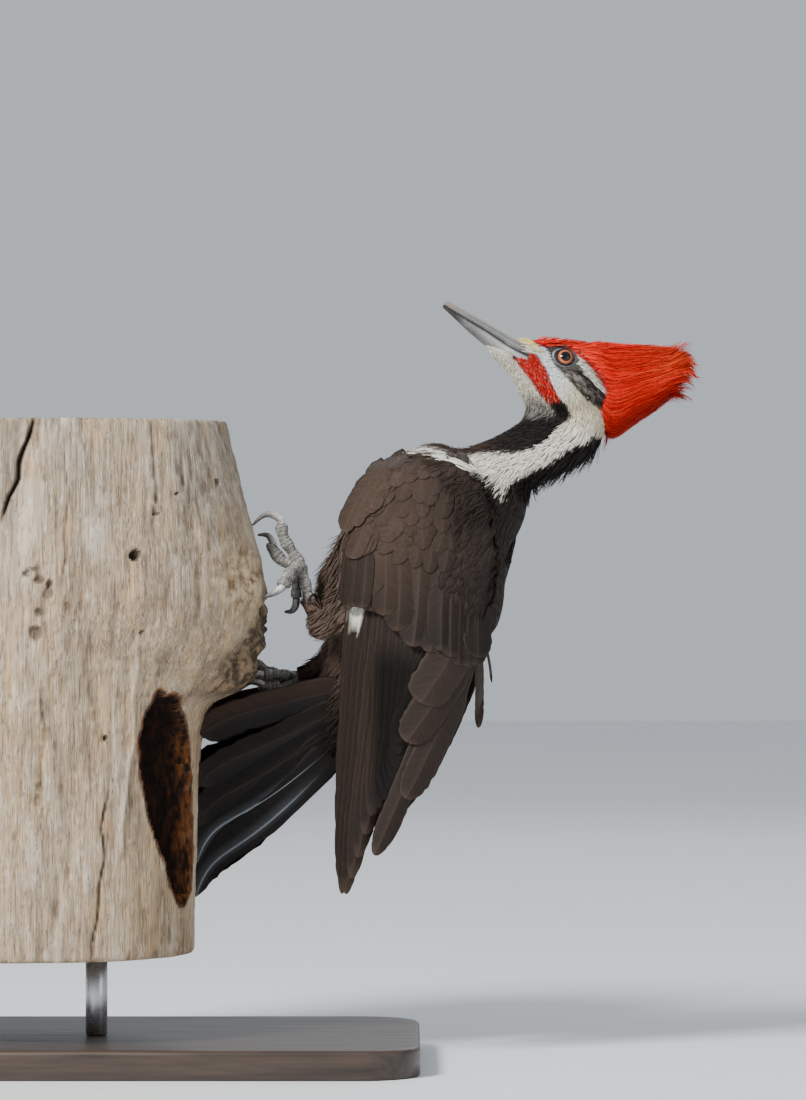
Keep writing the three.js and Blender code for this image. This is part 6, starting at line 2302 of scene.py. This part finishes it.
class WOODPECKER_OT_stand(bpy.types.Operator):
    """Builds the plain display stand: a flat base and two rods"""

    bl_idname = "woodpecker.stand"
    bl_label = "Stand"

    def execute(self, context):
        self.base()
        steel = self.steel_finish()
        gap = LOG["bottom"] - BASE["height"]
        levels = [(0, -0.6), (0.6, 0), (gap - 0.9, 0), (gap - 0.6, -0.4)]
        for name, side in (("back", -1), ("front", 1)):
            x = LOG["x"] + side * ROD["spacing"] / 2
            turn = ring_angles(48)[None]
            height = np.array([BASE["height"] + 0.3 + level for level, _ in levels])[:, None]
            radius = np.array([ROD["radius"] + grow for _, grow in levels])[:, None]
            y = LOG["y"] + radius * np.sin(turn)
            rings = np.stack([x + radius * np.cos(turn), y, height + 0 * turn], -1)
            mesh = loft_mesh(f"rod_{name}", loft(rings))
            add_piece(f"rod_{name}", mesh, steel, "stand_steel", f"stand_rod_{name}")
        return {"FINISHED"}

    def base(self):
        """A rounded rectangle: quarter circles at the corners, its top edge rounded as a quarter circle."""
        half_x, half_y = BASE["length"] / 2, BASE["width"] / 2
        turn = ring_angles(96) + np.pi / 96
        edge = np.linspace(0, np.pi / 2, 7)
        top, bevel = BASE["height"], BASE["bevel"]
        levels = [(0.0, 0.8), (0.8, 0.0)]
        levels += [(top - bevel * (1 - math.sin(a)), bevel * (1 - math.cos(a))) for a in edge]
        levels += [(top, inset) for inset in (12, 40, 70, 100, 109.5)]
        rings = []
        for height, inset in levels:
            corner = max(BASE["corner"] - inset, 0.3)
            x = np.sign(np.cos(turn)) * max(half_x - inset - corner, 0.02) + corner * np.cos(turn)
            y = np.sign(np.sin(turn)) * max(half_y - inset - corner, 0.02) + corner * np.sin(turn)
            rings.append(np.stack([x, y, np.full_like(x, height)], -1))
        mesh = loft_mesh("base_board", loft(rings))
        material, tree = finish("stained_board")
        x, y, z = tree.separate(tree.place())
        grain = tree.noise(tree.combine(tree.times(x, 0.06), y, z), 240.0, 5.0, 0.6)
        broad = tree.noise(tree.combine(tree.times(x, 0.1), y, z), 30.0, 3.0)
        share = tree.fused(grain, 0.65, tree.times(broad, 0.35))
        tree.dress(
            colour=tree.blend(tree.span(share, 0.35, 0.65), (0.016, 0.010, 0.007), (0.062, 0.040, 0.028)),
            rough=tree.span(grain, 0.3, 0.7, 0.32, 0.48),
            normal=tree.bump(grain, 0.0002),
        )
        add_piece("base_board", mesh, material, "stand_wood", "stand_base")

    def steel_finish(self):
        """Steel brushed round the rods."""
        material, tree = finish("brushed_rods")
        x, y, z = tree.separate(tree.place())
        lines = tree.noise(tree.combine(x, y, tree.times(z, 40.0)), 90.0, 4.0, 0.7)
        tree.dress(
            colour=tree.blend(lines, (0.42, 0.42, 0.43), (0.66, 0.66, 0.67)),
            rough=tree.span(lines, 0.3, 0.7, 0.24, 0.38),
            normal=tree.bump(lines, 0.00004),
            metal=1.0,
        )
        return material


# ------------------------------------------------------------------ panel and registration

STEPS = ["stage", "skin", "coat", "crest", "wings", "tail", "bill", "eyes", "feet", "trunk", "stand"]


class WOODPECKER_PT_panel(bpy.types.Panel):
    """Lists the steps that build the model and the settings they read"""

    bl_idname = "WOODPECKER_PT_panel"
    bl_label = "Woodpecker"
    bl_space_type = "VIEW_3D"
    bl_region_type = "UI"
    bl_category = "Woodpecker"

    def draw(self, context):
        for step in STEPS:
            self.layout.operator(f"woodpecker.{step}")
        for group in GROUPS:
            values = getattr(context.scene, group)
            for key in type(values).__annotations__:
                self.layout.prop(values, key)


GROUPS = {
    "woodpecker_plumage": PlumageSettings,
    "woodpecker_horn": HornSettings,
    "woodpecker_stage": StageSettings,
}
CLASSES = [
    *GROUPS.values(), WOODPECKER_OT_stage, WOODPECKER_OT_skin, WOODPECKER_OT_coat, WOODPECKER_OT_crest,
    WOODPECKER_OT_wings, WOODPECKER_OT_tail, WOODPECKER_OT_bill, WOODPECKER_OT_eyes, WOODPECKER_OT_feet,
    WOODPECKER_OT_trunk, WOODPECKER_OT_stand, WOODPECKER_PT_panel,
]


def register():
    """Adds the steps, the panel and the settings to Blender."""
    for kind in CLASSES:
        bpy.utils.register_class(kind)
    for name, group in GROUPS.items():
        setattr(bpy.types.Scene, name, PointerProperty(type=group))


def unregister():
    """Takes away what register adds."""
    for name in GROUPS:
        delattr(bpy.types.Scene, name)
    for kind in reversed(CLASSES):
        bpy.utils.unregister_class(kind)


def main():
    """Builds every piece in order."""
    register()
    for step in STEPS:
        getattr(bpy.ops.woodpecker, step)()


if __name__ == "__main__":
    main()
